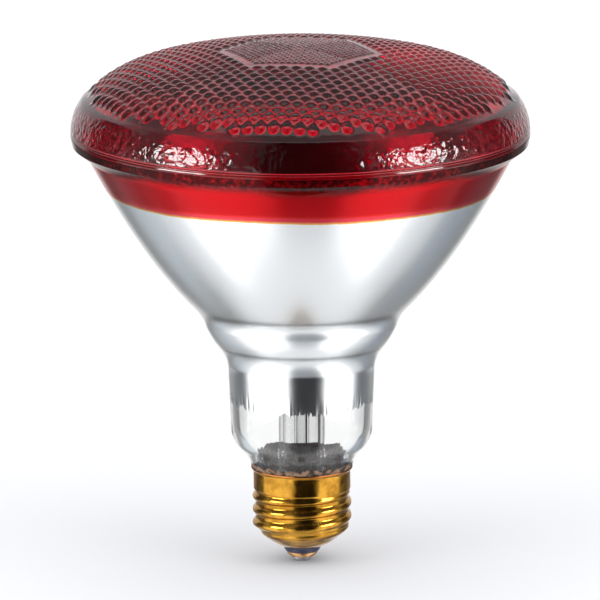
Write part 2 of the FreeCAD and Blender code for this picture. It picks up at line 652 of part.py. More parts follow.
def wire(name, places, radius, bend):
    # straight runs joined by arcs tangent to both, swept with a round section
    edges = []
    last = places[0]
    for before, corner, after in zip(places, places[1:], places[2:]):
        back = (before - corner).normalize()
        on = (after - corner).normalize()
        half = back.getAngle(on) / 2
        trim = bend / math.tan(half)
        inner = corner + (back + on).normalize() * (bend / math.sin(half) - bend)
        edges.append(Part.LineSegment(last, corner + back * trim).toShape())
        edges.append(Part.Arc(corner + back * trim, inner, corner + on * trim).toShape())
        last = corner + on * trim
    edges.append(Part.LineSegment(last, places[-1]).toShape())
    ring = Part.Wire([Part.makeCircle(radius, places[0], places[1] - places[0])])
    run = doc.addObject("Part::Feature", name)
    run.Shape = Part.Wire(edges).makePipeShell([ring], True, True)
    return run


reach, circle = size("filamentReach"), size("leadCircle")
centreTurn, backTurn, sideTurn = size("pressTurn") - 180, size("pressTurn"), size("sideLeadTurn")
elbow = size("pressTop") + 2 * size("leadBend")
knee = size("filamentFoot") - 2 * size("leadBend")

# Each lead wire runs from an end of the filament through the press: one down to the centre
# contact, the other aside to the wall of the shell.
nodes["centre_lead"] = wire("centre_lead", [
    around(reach, centreTurn, size("filamentFoot")),
    around(reach, centreTurn, knee),
    around(circle, centreTurn, elbow),
    around(circle, centreTurn, size("leadTurnHeight")),
    point(0, 0, size("centreLeadFoot")),
    point(0, 0, size("solderLeadFoot")),
], size("leadRadius"), size("leadBend"))
nodes["side_lead"] = wire("side_lead", [
    around(reach, backTurn, size("filamentFoot")),
    around(reach, backTurn, knee),
    around(circle, backTurn, elbow),
    around(circle, backTurn, size("leadShiftTop")),
    around(circle, sideTurn, size("leadShiftFoot")),
    around(circle, sideTurn, size("leadTurnHeight")),
    around(size("sideSolderReach"), sideTurn, size("leadTurnHeight")),
], size("leadRadius"), size("leadBend"))

# Wire supports from the button, each hooked up behind the filament.
behind = reach + size("filamentRadius") + size("supportRadius") + size("wireGap")
beneath = size("focusHeight") - size("filamentRadius") - size("supportRadius") - size("wireGap")
for number, offset in enumerate((-1, 0, 1), start=1):
    turn = (centreTurn + backTurn) / 2 + offset * size("supportSpread")
    nodes[f"filament_support_{number}"] = wire(f"filament_support_{number}", [
        around(size("buttonRadius") + size("wireGap"), turn, size("buttonMiddle")),
        around(reach - 2 * size("filamentRadius"), turn, beneath),
        around(behind, turn, beneath),
        around(behind, turn, size("focusHeight") + size("filamentRadius")),
    ], size("supportRadius"), size("supportBend"))

# Rolled brass shell: flared rim, plain band, root cylinder and rounded skirt.
shell = turned("shellSheet", [
    ("rimRadius", "shellHeight", None),
    ("rimRadius", "rimEdge", None),
    ("bandRadius", "rimFoot", None),
    ("bandRadius", "bandFoot", None),
    ("rootRadius", "rootTop", None),
    ("rootRadius", "rootFoot", ("arc", "skirtRound", -1)),
    ("skirtFootRadius", "skirtFootHeight", None),
    ("skirtFootRadius", "skirtBoreHeight", ("arc", "skirtBoreRound", 1)),
    ("rootBore", "rootBoreFoot", None),
    ("rootBore", "rootBoreTop", None),
    ("bandBore", "bandBoreFoot", None),
    ("bandBore", "rimFoot", None),
    ("rimBore", "shellHeight", None),
])
# The thread is a rounded ridge swept along a right-hand helix and faded out at both ends.
spine = doc.addObject("Part::Helix", "threadSpine")
spine.SegmentLength = 1
spine.setExpression("Pitch", cell("threadPitch"))
spine.setExpression("Height", cell("threadHeight"))
spine.setExpression("Radius", cell("rootRadius"))
spine.setExpression("Placement.Base.z", cell("threadStart"))
ridgeSection = doc.addObject("Sketcher::SketchObject", "threadSection")
ridgeSection.Placement = FreeCAD.Placement(point(), point(1, 0, 0), 90)
ridgeSection.setExpression("Placement.Base.z", cell("threadStart"))
section(ridgeSection, [
    ("threadSeat", "base", None),
    ("flankRadius", "flankLow", ("arc", "crestRound", 1)),
    ("flankRadius", "flankHigh", None),
    ("threadSeat", "threadSpan", None),
])
ridge = doc.addObject("Part::Sweep", "threadRidge")
ridge.Sections = [ridgeSection]
ridge.Spine = (spine, [])
ridge.Solid = True
ridge.Frenet = True
ridge.Placement = FreeCAD.Placement(point(), point(0, 0, 1), size("threadTurn"))
ridge.setExpression("Placement.Rotation.Angle", cell("threadTurn"))
fade = turned("threadFade", [
    ("rootBore", "runoutFoot", None),
    ("rootRadius", "runoutFoot", None),
    ("runoutOuter", "runoutFull", None),
    ("runoutOuter", "runoutEnd", None),
    ("bandRadius", "runoutTop", None),
    ("bandBore", "runoutTop", None),
    ("bandBore", "bandBoreFoot", None),
    ("rootBore", "rootBoreTop", None),
])
thread = doc.addObject("Part::Common", "thread")
thread.Base = ridge
thread.Tool = fade
screwShell = doc.addObject("Part::Fuse", "screw_shell")
screwShell.Base = shell
screwShell.Tool = thread
nodes["screw_shell"] = screwShell

# Glass insulator that closes the skirt, with the nose that the eyelet is pressed on.
nodes["insulator"] = turned("insulator", [
    ("insulatorHole", "eyeletTop", None),
    ("noseBoss", "eyeletTop", None),
    ("noseBoss", "noseHeight", None),
    ("noseRadius", "noseHeight", None),
    ("insulatorSide", "skirtFootHeight", None),
    ("skirtFootRadius", "skirtFootHeight", None),
    ("skirtFootRadius", "skirtBoreHeight", ("arc", "skirtBoreRound", 1)),
    ("insulatorRadius", "insulatorTop", None),
    ("insulatorHole", "insulatorTop", None),
])
nodes["contact_eyelet"] = turned("contact_eyelet", [
    ("eyeletHole", "solderHeight", None),
    ("eyeletFlatRadius", "solderHeight", ("arc", "eyeletRound", 1)),
    ("eyeletRadius", "noseHeight", None),
    ("noseBoss", "noseHeight", None),
    ("noseBoss", "eyeletTop", None),
    ("eyeletHole", "eyeletTop", None),
])
nodes["solder_tip"] = turned("solder_tip", [
    ("axis", "base", ("arc", "solderRound", 1)),
    ("solderRadius", "solderHeight", None),
    ("eyeletHole", "solderHeight", None),
    ("eyeletHole", "solderPlugTop", None),
    ("leadRadius", "solderPlugTop", None),
    ("leadRadius", "solderLeadFoot", None),
    ("axis", "solderLeadFoot", None),
])

# Cement between the shell and the glass.
nodes["basing_cement"] = turned("basing_cement", [
    ("throatRadius", "cementFoot", None),
    ("rootBore", "cementFoot", None),
    ("rootBore", "rootBoreTop", None),
    ("bandBore", "bandBoreFoot", None),
    ("bandBore", "cementTop", None),
    ("cementBore", "cementTop", ("arc", "coneRound", -1)),
    ("throatRadius", "throatHeight", None),
])

# Solder that fixes the side lead to the wall of the shell.
blob = doc.addObject("Part::Sphere", "solderBlob")
blob.setExpression("Radius", cell("solderBall"))
blob.Placement = FreeCAD.Placement(around(size("sideSolderReach"), sideTurn, 0), FreeCAD.Rotation())
blob.setExpression("Placement.Base.x", f"{cell('sideSolderReach')} * cos({cell('sideLeadTurn')})")
blob.setExpression("Placement.Base.y", f"{cell('sideSolderReach')} * sin({cell('sideLeadTurn')})")
blob.setExpression("Placement.Base.z", cell("leadTurnHeight"))
bore = doc.addObject("Part::Cylinder", "shellBore")
bore.setExpression("Radius", cell("rootBore"))
bore.setExpression("Height", cell("shellHeight"))
inside = doc.addObject("Part::Common", "solderInside")
inside.Base = blob
inside.Tool = bore
sideSolder = doc.addObject("Part::Cut", "side_solder")
sideSolder.Base = inside
sideSolder.Tool = nodes["side_lead"]
nodes["side_solder"] = sideSolder

doc.recompute()
failed = [item.Label for item in doc.Objects if "Invalid" in item.State or "Error" in item.State]
if failed:
    raise RuntimeError(f"these could not be made: {failed}")
os.makedirs("parts", exist_ok=True)
for name, item in nodes.items():
    item.Label = name
    shape = item.Shape
    if shape.isNull() or not shape.isValid():
        raise RuntimeError(f"{name} has no valid shape")
    shape.exportStep(f"parts/{name}.step")
    print(name, round(shape.Volume, 1), len(shape.Faces))
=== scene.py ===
import math

import bmesh
import bpy
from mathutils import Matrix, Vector, noise


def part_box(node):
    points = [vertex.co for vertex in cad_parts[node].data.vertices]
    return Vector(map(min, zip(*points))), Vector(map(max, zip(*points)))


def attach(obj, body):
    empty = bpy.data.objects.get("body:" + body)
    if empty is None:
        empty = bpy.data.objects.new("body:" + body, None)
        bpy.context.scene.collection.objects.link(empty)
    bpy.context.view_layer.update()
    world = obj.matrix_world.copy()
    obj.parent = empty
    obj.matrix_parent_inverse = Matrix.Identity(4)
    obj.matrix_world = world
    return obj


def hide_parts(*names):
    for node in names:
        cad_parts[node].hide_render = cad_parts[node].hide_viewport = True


# Sizes are in millimetres, from the origin at the tip of the centre contact, with +Z along the
# lamp's axis. Meshes are made in metres.
mm = 0.001

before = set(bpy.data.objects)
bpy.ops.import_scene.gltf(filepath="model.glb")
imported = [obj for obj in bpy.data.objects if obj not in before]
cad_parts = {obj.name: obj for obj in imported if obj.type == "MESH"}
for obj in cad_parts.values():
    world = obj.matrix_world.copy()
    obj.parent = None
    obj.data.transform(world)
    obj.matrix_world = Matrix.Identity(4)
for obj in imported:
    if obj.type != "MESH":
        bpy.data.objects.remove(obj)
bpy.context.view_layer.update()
print("frame:", len(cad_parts), "nodes")


def lowest(node):
    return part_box(node)[0].z / mm


def highest(node):
    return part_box(node)[1].z / mm


def reach(node):
    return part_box(node)[1].x / mm


# Outlines: lists of (radius, height)

def straight(start, end, steps):
    return [(start[0] + (end[0] - start[0]) * i / steps,
             start[1] + (end[1] - start[1]) * i / steps) for i in range(1, steps + 1)]


def arc(start, end, radius, side, steps):
    # centre to the left (+1) or right (-1) of the way from start to end
    dx, dz = end[0] - start[0], end[1] - start[1]
    chord = math.hypot(dx, dz)
    off = side * math.sqrt(max(radius ** 2 - chord ** 2 / 4, 0))
    cx = (start[0] + end[0]) / 2 - dz / chord * off
    cz = (start[1] + end[1]) / 2 + dx / chord * off
    first = math.atan2(start[1] - cz, start[0] - cx)
    sweep = 2 * math.asin(min(chord / (2 * radius), 1)) * side
    return [(cx + radius * math.cos(first + sweep * i / steps),
             cz + radius * math.sin(first + sweep * i / steps)) for i in range(1, steps + 1)]


def parabola(vertex, focal, start, end, steps):
    # from radius start to radius end, both included
    radii = [start + (end - start) * i / steps for i in range(steps + 1)]
    return [(r, vertex + r * r / (4 * focal)) for r in radii]


def smoothStep(value, low, high):
    share = min(max((value - low) / (high - low), 0.0), 1.0)
    return share * share * (3 - 2 * share)


# Meshes

def addPiece(name, points, faces, finish, node):
    mesh = bpy.data.meshes.new(name)
    mesh.from_pydata([tuple(p * mm for p in point) for point in points], [], faces)
    mesh.materials.append(finish)
    piece = bpy.data.objects.new(name, mesh)
    bpy.context.collection.objects.link(piece)
    return finishPiece(piece, node)


def finishPiece(piece, node, sharp=35):
    # sharp is the angle, in degrees, from which an edge isn't smoothed over
    mesh = piece.data
    work = bmesh.new()
    work.from_mesh(mesh)
    bmesh.ops.remove_doubles(work, verts=work.verts, dist=1e-7)
    bmesh.ops.recalc_face_normals(work, faces=work.faces)
    work.to_mesh(mesh)
    work.free()
    mesh.polygons.foreach_set("use_smooth", [True] * len(mesh.polygons))
    mesh.set_sharp_from_angle(angle=math.radians(sharp))
    mesh.update()
    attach(piece, "root")
    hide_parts(node)
    return piece


def turned(name, outline, finish, node, segments=192, shift=None):
    # a closed outline turned about the axis; shift(angle, radius, height) moves its points
    points, faces, rings = [], [], []
    for radius, height in outline:
        if radius < 1e-6:
            rings.append([len(points)] * segments)
            points.append((0, 0, height))
            continue
        rings.append(list(range(len(points), len(points) + segments)))
        for k in range(segments):
            angle = 2 * math.pi * k / segments
            r, z = shift(angle, radius, height) if shift else (radius, height)
            points.append((r * math.cos(angle), r * math.sin(angle), z))
    for index in range(len(rings)):
        low, high = rings[index], rings[(index + 1) % len(rings)]
        if low[0] == low[1] and high[0] == high[1]:
            continue
        for k in range(segments):
            after = (k + 1) % segments
            corners = []
            for corner in (low[k], low[after], high[after], high[k]):
                if corner not in corners:
                    corners.append(corner)
            faces.append(corners)
    return addPiece(name, points, faces, finish, node)


def dressNode(name, finish):
    # a merged, smoothly shaded copy of the CAD node
    piece = bpy.data.objects.new(name + "_dressed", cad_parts[name].data.copy())
    bpy.context.collection.objects.link(piece)
    piece.data.materials.clear()
    piece.data.materials.append(finish)
    finishPiece(piece, name)


# Node trees

class Nodes:
    # short calls for the sums of a node tree
    def __init__(self, tree):
        self.tree = tree

    def make(self, kind, *values, **settings):
        # values fill the sockets in order; settings name a socket (Scale=2) or a property
        made = self.tree.nodes.new(kind)
        sockets = {key: value for key, value in settings.items() if key[0].isupper()}
        for key, value in settings.items():
            if key not in sockets:
                setattr(made, key, value)
        for socket, value in zip([s for s in made.inputs if s.enabled], values):
            self.fill(socket, value)
        for key, value in sockets.items():
            self.fill(made.inputs[key.replace("_", " ")], value)
        return [s for s in made.outputs if s.enabled][0]

    def fill(self, socket, value):
        if isinstance(value, bpy.types.NodeSocket):
            self.tree.links.new(value, socket)
        elif value is not None:
            socket.default_value = value

    def sum(self, operation, *values):
        return self.make("ShaderNodeMath", *values, operation=operation)

    def vector(self, operation, *values):
        return self.make("ShaderNodeVectorMath", *values, operation=operation)

    def ramp(self, value, low, high, start=0.0, end=1.0):
        return self.make("ShaderNodeMapRange", value, low, high, start, end,
                         interpolation_type="SMOOTHSTEP")

    def blend(self, share, first, second):
        return self.make("ShaderNodeMix", share, first, second, data_type="RGBA")

    def axes(self, vector):
        made = self.tree.nodes.new("ShaderNodeSeparateXYZ")
        self.tree.links.new(vector, made.inputs[0])
        return made.outputs

    def output(self, kind, name):
        return self.tree.nodes.new(kind).outputs[name]

    def speckle(self, place, scale, detail):
        return self.make("ShaderNodeTexNoise", Vector=place, Scale=scale, Detail=detail)

    def link(self, source, target):
        self.tree.links.new(source, target)


# Materials

def principled(name, **inputs):
    made = bpy.data.materials.new(name)
    made.use_nodes = True
    shader = made.node_tree.nodes["Principled BSDF"]
    for key, value in inputs.items():
        shader.inputs[key.replace("_", " ")].default_value = value
    return made


def worn(made, first, second, scale, rough, relief=0.0):
    # two shades, and a roughness between two limits, by noise on Object coordinates
    n = Nodes(made.node_tree)
    shader = made.node_tree.nodes["Principled BSDF"]
    place = n.output("ShaderNodeTexCoord", "Object")
    patches = n.ramp(n.speckle(place, scale, 4.0), 0.38, 0.62)
    shade = n.blend(patches, first, second)
    n.link(shade, shader.inputs["Base Color"])
    roughness = n.ramp(n.speckle(place, scale * 2.3, 3.0), 0.35, 0.65, *rough)
    n.link(roughness, shader.inputs["Roughness"])
    if relief:
        bump = n.make("ShaderNodeBump", Distance=relief, Height=n.speckle(place, scale * 3, 3.0))
        n.link(bump, shader.inputs["Normal"])
    return n, shader, place, shade


clearGlass = principled("clearGlass", Base_Color=(0.985, 0.99, 0.99, 1), Roughness=0.0,
                        IOR=1.5, Transmission_Weight=1.0)
# the tube glass's grey is painted shade, seen mostly at the tubes' edges
tubeGlass = principled("tubeGlass", Base_Color=(0.30, 0.32, 0.33, 1), Roughness=0.02, IOR=1.5)
blackGlass = principled("blackGlass")
worn(blackGlass, (0.008, 0.008, 0.050, 1), (0.014, 0.012, 0.06, 1), 900, (0.25, 0.4))
copper = principled("copper", Metallic=1.0)
worn(copper, (0.62, 0.36, 0.17, 1), (0.40, 0.21, 0.09, 1), 700, (0.2, 0.34), 0.00002)
silver = principled("silver", Base_Color=(0.90, 0.915, 0.93, 1), Roughness=0.18, Metallic=1.0)
solder = principled("solder", Metallic=1.0)
worn(solder, (0.32, 0.32, 0.34, 1), (0.18, 0.18, 0.19, 1), 1100, (0.3, 0.5), 0.00005)
leadWire = principled("leadWire", Metallic=0.6)
worn(leadWire, (0.085, 0.07, 0.06, 1), (0.15, 0.13, 0.115, 1), 800, (0.35, 0.55))
filamentWire = principled("filamentWire", Metallic=1.0)
worn(filamentWire, (0.32, 0.32, 0.34, 1), (0.2, 0.2, 0.21, 1), 600, (0.3, 0.5))
cement = principled("cement")
worn(cement, (0.035, 0.024, 0.018, 1), (0.32, 0.20, 0.13, 1), 600, (0.6, 0.95), 0.0004)


def clearAcross(made, middle, edge):
    # thin glass, clearer where it is looked straight through; towards its edges its grey shows as painted
    # shade for the dark lines at a glass tube's sides
    n = Nodes(made.node_tree)
    facing = n.make("ShaderNodeLayerWeight", Blend=0.5).node.outputs["Facing"]
    n.link(n.ramp(facing, 0.35, 1.0, middle, edge),
           made.node_tree.nodes["Principled BSDF"].inputs["Alpha"])


clearAcross(tubeGlass, 0.05, 0.75)


def brassFinish(rimFoot, rimTop):
    # tarnished brass, redder along the rim
    made = principled("brass", Metallic=1.0)
    n, shader, place, shade = worn(made, (0.56, 0.29, 0.04, 1), (0.35, 0.165, 0.02, 1), 230,
                                   (0.15, 0.25), 0.00001)
    rim = n.ramp(n.axes(place)[2], rimFoot * mm, rimTop * mm)
    n.link(n.blend(rim, shade, (0.55, 0.19, 0.06, 1)), shader.inputs["Base Color"])
    return made


def lacquerFinish():
    # a clear red sheet: light is tinted once on its way through, orange where it runs thin
    # and painted shade over the flange and the bowl's top, where the red darkens to nearly black
    made = bpy.data.materials.new("redLacquer")
    made.use_nodes = True
    tree = made.node_tree
    tree.nodes.remove(tree.nodes["Principled BSDF"])
    n = Nodes(tree)
    thin = n.make("ShaderNodeAttribute", attribute_name="thin").node.outputs["Fac"]
    flangeShade = n.make("ShaderNodeAttribute", attribute_name="flangeShade").node.outputs["Fac"]
    back = n.output("ShaderNodeNewGeometry", "Backfacing")
    specks = n.ramp(n.speckle(n.output("ShaderNodeTexCoord", "Object"), 700, 3.0), 0.35, 0.7, 1.1, 0.5)
    # painted shade: flangeShade darkens the red towards nearly black over the flange, broken up by specks
    red = n.blend(n.sum("MULTIPLY", flangeShade, specks), (0.73, 0.045, 0.075, 1), (0.11, 0.03, 0.035, 1))
    red = n.blend(thin, red, (1.0, 0.60, 0.16, 1))
    tint = n.make("ShaderNodeBsdfTransparent", n.blend(back, red, (1, 1, 1, 1)))
    gloss = n.make("ShaderNodeBsdfGlossy", Color=(1, 1, 1, 1), Roughness=0.04)
    shine = n.make("ShaderNodeFresnel", IOR=1.17)
    share = n.sum("MULTIPLY", shine, n.sum("SUBTRACT", 1.0, back))
    mix = n.make("ShaderNodeMixShader", share, tint, gloss)
    n.link(mix, tree.nodes["Material Output"].inputs["Surface"])
    return made


redLacquer = lacquerFinish()

# Lens

lensForm = {
    "crownRise": 3.96,
    "shoulderRise": 18.44,
    "shoulderRadius": 32.0,
    "edgeRadius": 13.0,
    "widestAboveSeam": 1.1,
    "wall": 3.0,
    "faceReach": 57.3,        # radius of the stippled face with its smooth border
    "faceCells": 208,         # grid cells across the face
    "faceCrowding": 0.14,     # how much closer the cells lie at the middle
    "ringSteps": 42,          # rings of faces on the shoulder
    "insideSplit": 4,         # rim cells to one cell of the plain inside
    "insideRings": 24,
    "beadDepth": 0.19,        # the moulding line round the widest part
    "beadHalf": 0.3,
    "grooveDepth": 0.02,
    "sharpFrom": 50,          # degrees, so that the bumps' feet stay soft
}
stipple = {
    "pitch": 3.43,
    "bumpHeight": 0.66,
    "bumpRadius": 1.6,
    "reach": 55.0,            # bumps have their centres inside this radius
    "hexagonOuter": 18.0,     # from the axis to the flats of the smooth border
    "hexagonInner": 17.4,
    "turn": -7.5,             # of the pattern about the axis, in degrees
    "domePower": 2.3,         # how blunt the bumps are; 2 is a parabola
    "fineWidth": 0.53,        # fine bumps inside the hexagon, as shares of the coarse ones
    "fineHeight": 0.6,
    "coarseMargin": 0.8,      # how far bumps stay off the smooth border, in bump radii
    "fineMargin": 0.5,
    "faceFade": 1.2,          # width of the slope back to the surface at the face's rim
    "hammerHeight": 0.22,
    "hammerScale": 0.8,       # features per millimetre
    "hammerLevel": 0.75,      # the noise value that stays on the surface
    "hammerStart": 1.4,       # outside the face, where the hammering is full
    "hammerFoot": (1.7, 3.0),     # above the seam, where it comes in
    "grainScale": 0.52,       # the fine grain that only shades: features per millimetre
    "grainDepth": 0.4,
    "grainStart": (0.3, 1.4),     # outside the face, where it comes in
    "grainFoot": (0.4, 1.4),      # above the widest part
}

seamHeight = lowest("lens")
seamRadius = reach("reflector")
lensRadius = reach("lens")
widest = seamHeight + lensForm["widestAboveSeam"]
edgeAcross = lensRadius - lensForm["edgeRadius"]
shoulderLevel = widest + lensForm["shoulderRise"] - lensForm["shoulderRadius"]
shoulderAcross = edgeAcross - math.sqrt(
    (lensForm["shoulderRadius"] - lensForm["edgeRadius"]) ** 2 - (widest - shoulderLevel) ** 2)
crownRadius = (shoulderAcross ** 2 / (2 * lensForm["crownRise"])
               + lensForm["crownRise"] / 2 + lensForm["shoulderRadius"])
crownLevel = highest("lens") - crownRadius
crownLean = math.atan2(shoulderAcross, shoulderLevel - crownLevel)
edgeLean = math.atan2(edgeAcross - shoulderAcross, widest - shoulderLevel)


def lensPoint(lean, inset=0.0):
    # the lens's surface where its normal leans from the axis by this angle
    if lean <= crownLean:
        size = crownRadius - inset
        return size * math.sin(lean), crownLevel + size * math.cos(lean)
    if lean <= edgeLean:
        size = lensForm["shoulderRadius"] - inset
        return shoulderAcross + size * math.sin(lean), shoulderLevel + size * math.cos(lean)
    size = lensForm["edgeRadius"] - inset
    return edgeAcross + size * math.sin(lean), widest + size * math.cos(lean)


def lensLean(radius):
    if radius <= crownRadius * math.sin(crownLean):
        return math.asin(radius / crownRadius)
    lean = math.asin(min((radius - shoulderAcross) / lensForm["shoulderRadius"], 1))
    if lean <= edgeLean:
        return lean
    return math.asin(min((radius - edgeAcross) / lensForm["edgeRadius"], 1))


def faceGrid():
    # a square grid drawn out to a disc, so that its cells stay even and its rim is a circle
    cells, size, crowding = lensForm["faceCells"], lensForm["faceReach"], lensForm["faceCrowding"]
    points = []
    for j in range(cells + 1):
        for i in range(cells + 1):
            a, b = 2 * i / cells - 1, 2 * j / cells - 1
            if a == 0 and b == 0:
                radius, angle = 0, 0
            elif abs(a) > abs(b):
                radius, angle = a, math.pi / 4 * b / a
            else:
                radius, angle = b, math.pi / 2 - math.pi / 4 * a / b
            radius *= size * (1 - crowding + crowding * radius ** 2)
            x, y = radius * math.cos(angle), radius * math.sin(angle)
            points.append((x, y, lensPoint(lensLean(min(math.hypot(x, y), size)))[1]))
    row = cells + 1
    faces = [(j * row + i, j * row + i + 1, (j + 1) * row + i + 1, (j + 1) * row + i)
             for j in range(cells) for i in range(cells)]
    last = cells
    rim = ([i for i in range(last)] + [j * row + last for j in range(last)]
           + [last * row + i for i in range(last, 0, -1)] + [j * row for j in range(last, 0, -1)])
    return points, faces, rim


def lensSide():
    # from the face's rim over the shoulder, the moulding line and its groove to the seam
    start, steps = lensLean(lensForm["faceReach"]), lensForm["ringSteps"]
    bead, half = lensForm["beadDepth"], lensForm["beadHalf"]
    line = [lensPoint(start + (math.pi / 2 - start) * i / steps) for i in range(1, steps - 1)]
    line = [(r, z) for r, z in line if z > widest + half * 1.5]
    line.append((lensRadius - bead, widest + half))
    line += arc(line[-1], (lensRadius - bead, widest - half), half * 1.15, -1, 4)
    line.append((lensRadius - lensForm["grooveDepth"], (widest + seamHeight) / 2 - half / 2))
    line.append((seamRadius, seamHeight))
    return line


def lensMesh():
    points, faces, rim = faceGrid()
    painted = [0] * len(faces)
    ring = list(rim)
    angles = [math.atan2(points[v][1], points[v][0]) for v in rim]

    def addRing(radius, height, split):
        first = len(points)
        points.extend((radius * math.cos(a), radius * math.sin(a), height) for a in angles[::split])
        return list(range(first, len(points)))

    for radius, height in lensSide():
        following = addRing(radius, height, 1)
        for k in range(len(ring)):
            after = (k + 1) % len(ring)
            faces.append((ring[k], following[k], following[after], ring[after]))
            painted.append(0)
        ring = following
    outerCount = len(points)
    # the inside is plain, so its rings have fewer cells
    split = lensForm["insideSplit"]
    innerReach = reach("silver_film")
    insideLean = math.asin(min((innerReach - shoulderAcross)
                               / (lensForm["shoulderRadius"] - lensForm["wall"]), 1))
    following = addRing(innerReach, seamHeight, split)
    for k in range(len(following)):
        near = [ring[(k * split + i) % len(ring)] for i in range(split + 1)]
        faces.append(near + [following[(k + 1) % len(following)], following[k]])
        painted.append(0)
    ring = following
    for i in range(lensForm["insideRings"]):
        lean = insideLean * (1 - i / lensForm["insideRings"])
        following = addRing(*lensPoint(lean, lensForm["wall"]), split)
        for k in range(len(ring)):
            after = (k + 1) % len(ring)
            faces.append((ring[k], following[k], following[after], ring[after]))
            painted.append(1)
        ring = following
    apex = len(points)
    points.append((0, 0, lensPoint(0, lensForm["wall"])[1]))
    for k in range(len(ring)):
        faces.append((ring[k], apex, ring[(k + 1) % len(ring)]))
        painted.append(1)
    return points, faces, painted, outerCount


def stippleSizes():
    # the tree's inputs, in metres and radians
    return {
        "Pitch": stipple["pitch"] * mm,
        "Bump Height": stipple["bumpHeight"] * mm,
        "Bump Radius": stipple["bumpRadius"] * mm,
        "Reach": stipple["reach"] * mm,
        "Hexagon Outer": stipple["hexagonOuter"] * mm,
        "Hexagon Inner": stipple["hexagonInner"] * mm,
        "Turn": math.radians(stipple["turn"]),
        "Hammer Height": stipple["hammerHeight"] * mm,
        "Hammer Scale": stipple["hammerScale"] / mm,
        "Face Reach": lensForm["faceReach"] * mm,
        "Seam": seamHeight * mm,
    }


def nearestPlace(n, place, pitch, offset):
    # distance to the nearest place of one rectangular half of a hexagonal lattice, and that place
    cell = n.make("ShaderNodeCombineXYZ", pitch, n.sum("MULTIPLY", pitch, math.sqrt(3)), 1.0)
    shift = n.vector("MULTIPLY", cell, offset)
    half = n.vector("MULTIPLY", cell, (0.5, 0.5, 0.0))
    whole = n.vector("SNAP", n.vector("ADD", n.vector("ADD", place, shift), half), cell)
    centre = n.vector("SUBTRACT", whole, shift)
    return n.vector("DISTANCE", place, centre), centre


def lattice(n, place, pitch):
    gapA, centreA = nearestPlace(n, place, pitch, (0.0, 0.0, 0.0))
    gapB, centreB = nearestPlace(n, place, pitch, (0.5, 0.5, 0.0))
    closer = n.sum("LESS_THAN", gapA, gapB)
    centre = n.make("ShaderNodeMix", closer, centreB, centreA, data_type="VECTOR")
    return n.sum("MINIMUM", gapA, gapB), centre


def hexagonReach(n, centre):
    # distance from the axis to the flat of the hexagon through this place
    parts = n.axes(centre)
    across, along = n.sum("ABSOLUTE", parts[0]), n.sum("ABSOLUTE", parts[1])
    slanted = n.sum("ADD", n.sum("MULTIPLY", across, math.sqrt(0.75)), n.sum("MULTIPLY", along, 0.5))
    return n.sum("MAXIMUM", along, slanted)


def dome(n, gap, radius, height):
    share = n.sum("DIVIDE", gap, radius)
    rise = n.sum("MAXIMUM", n.sum("SUBTRACT", 1.0, n.sum("POWER", share, stipple["domePower"])), 0.0)
    return n.sum("MULTIPLY", rise, height)


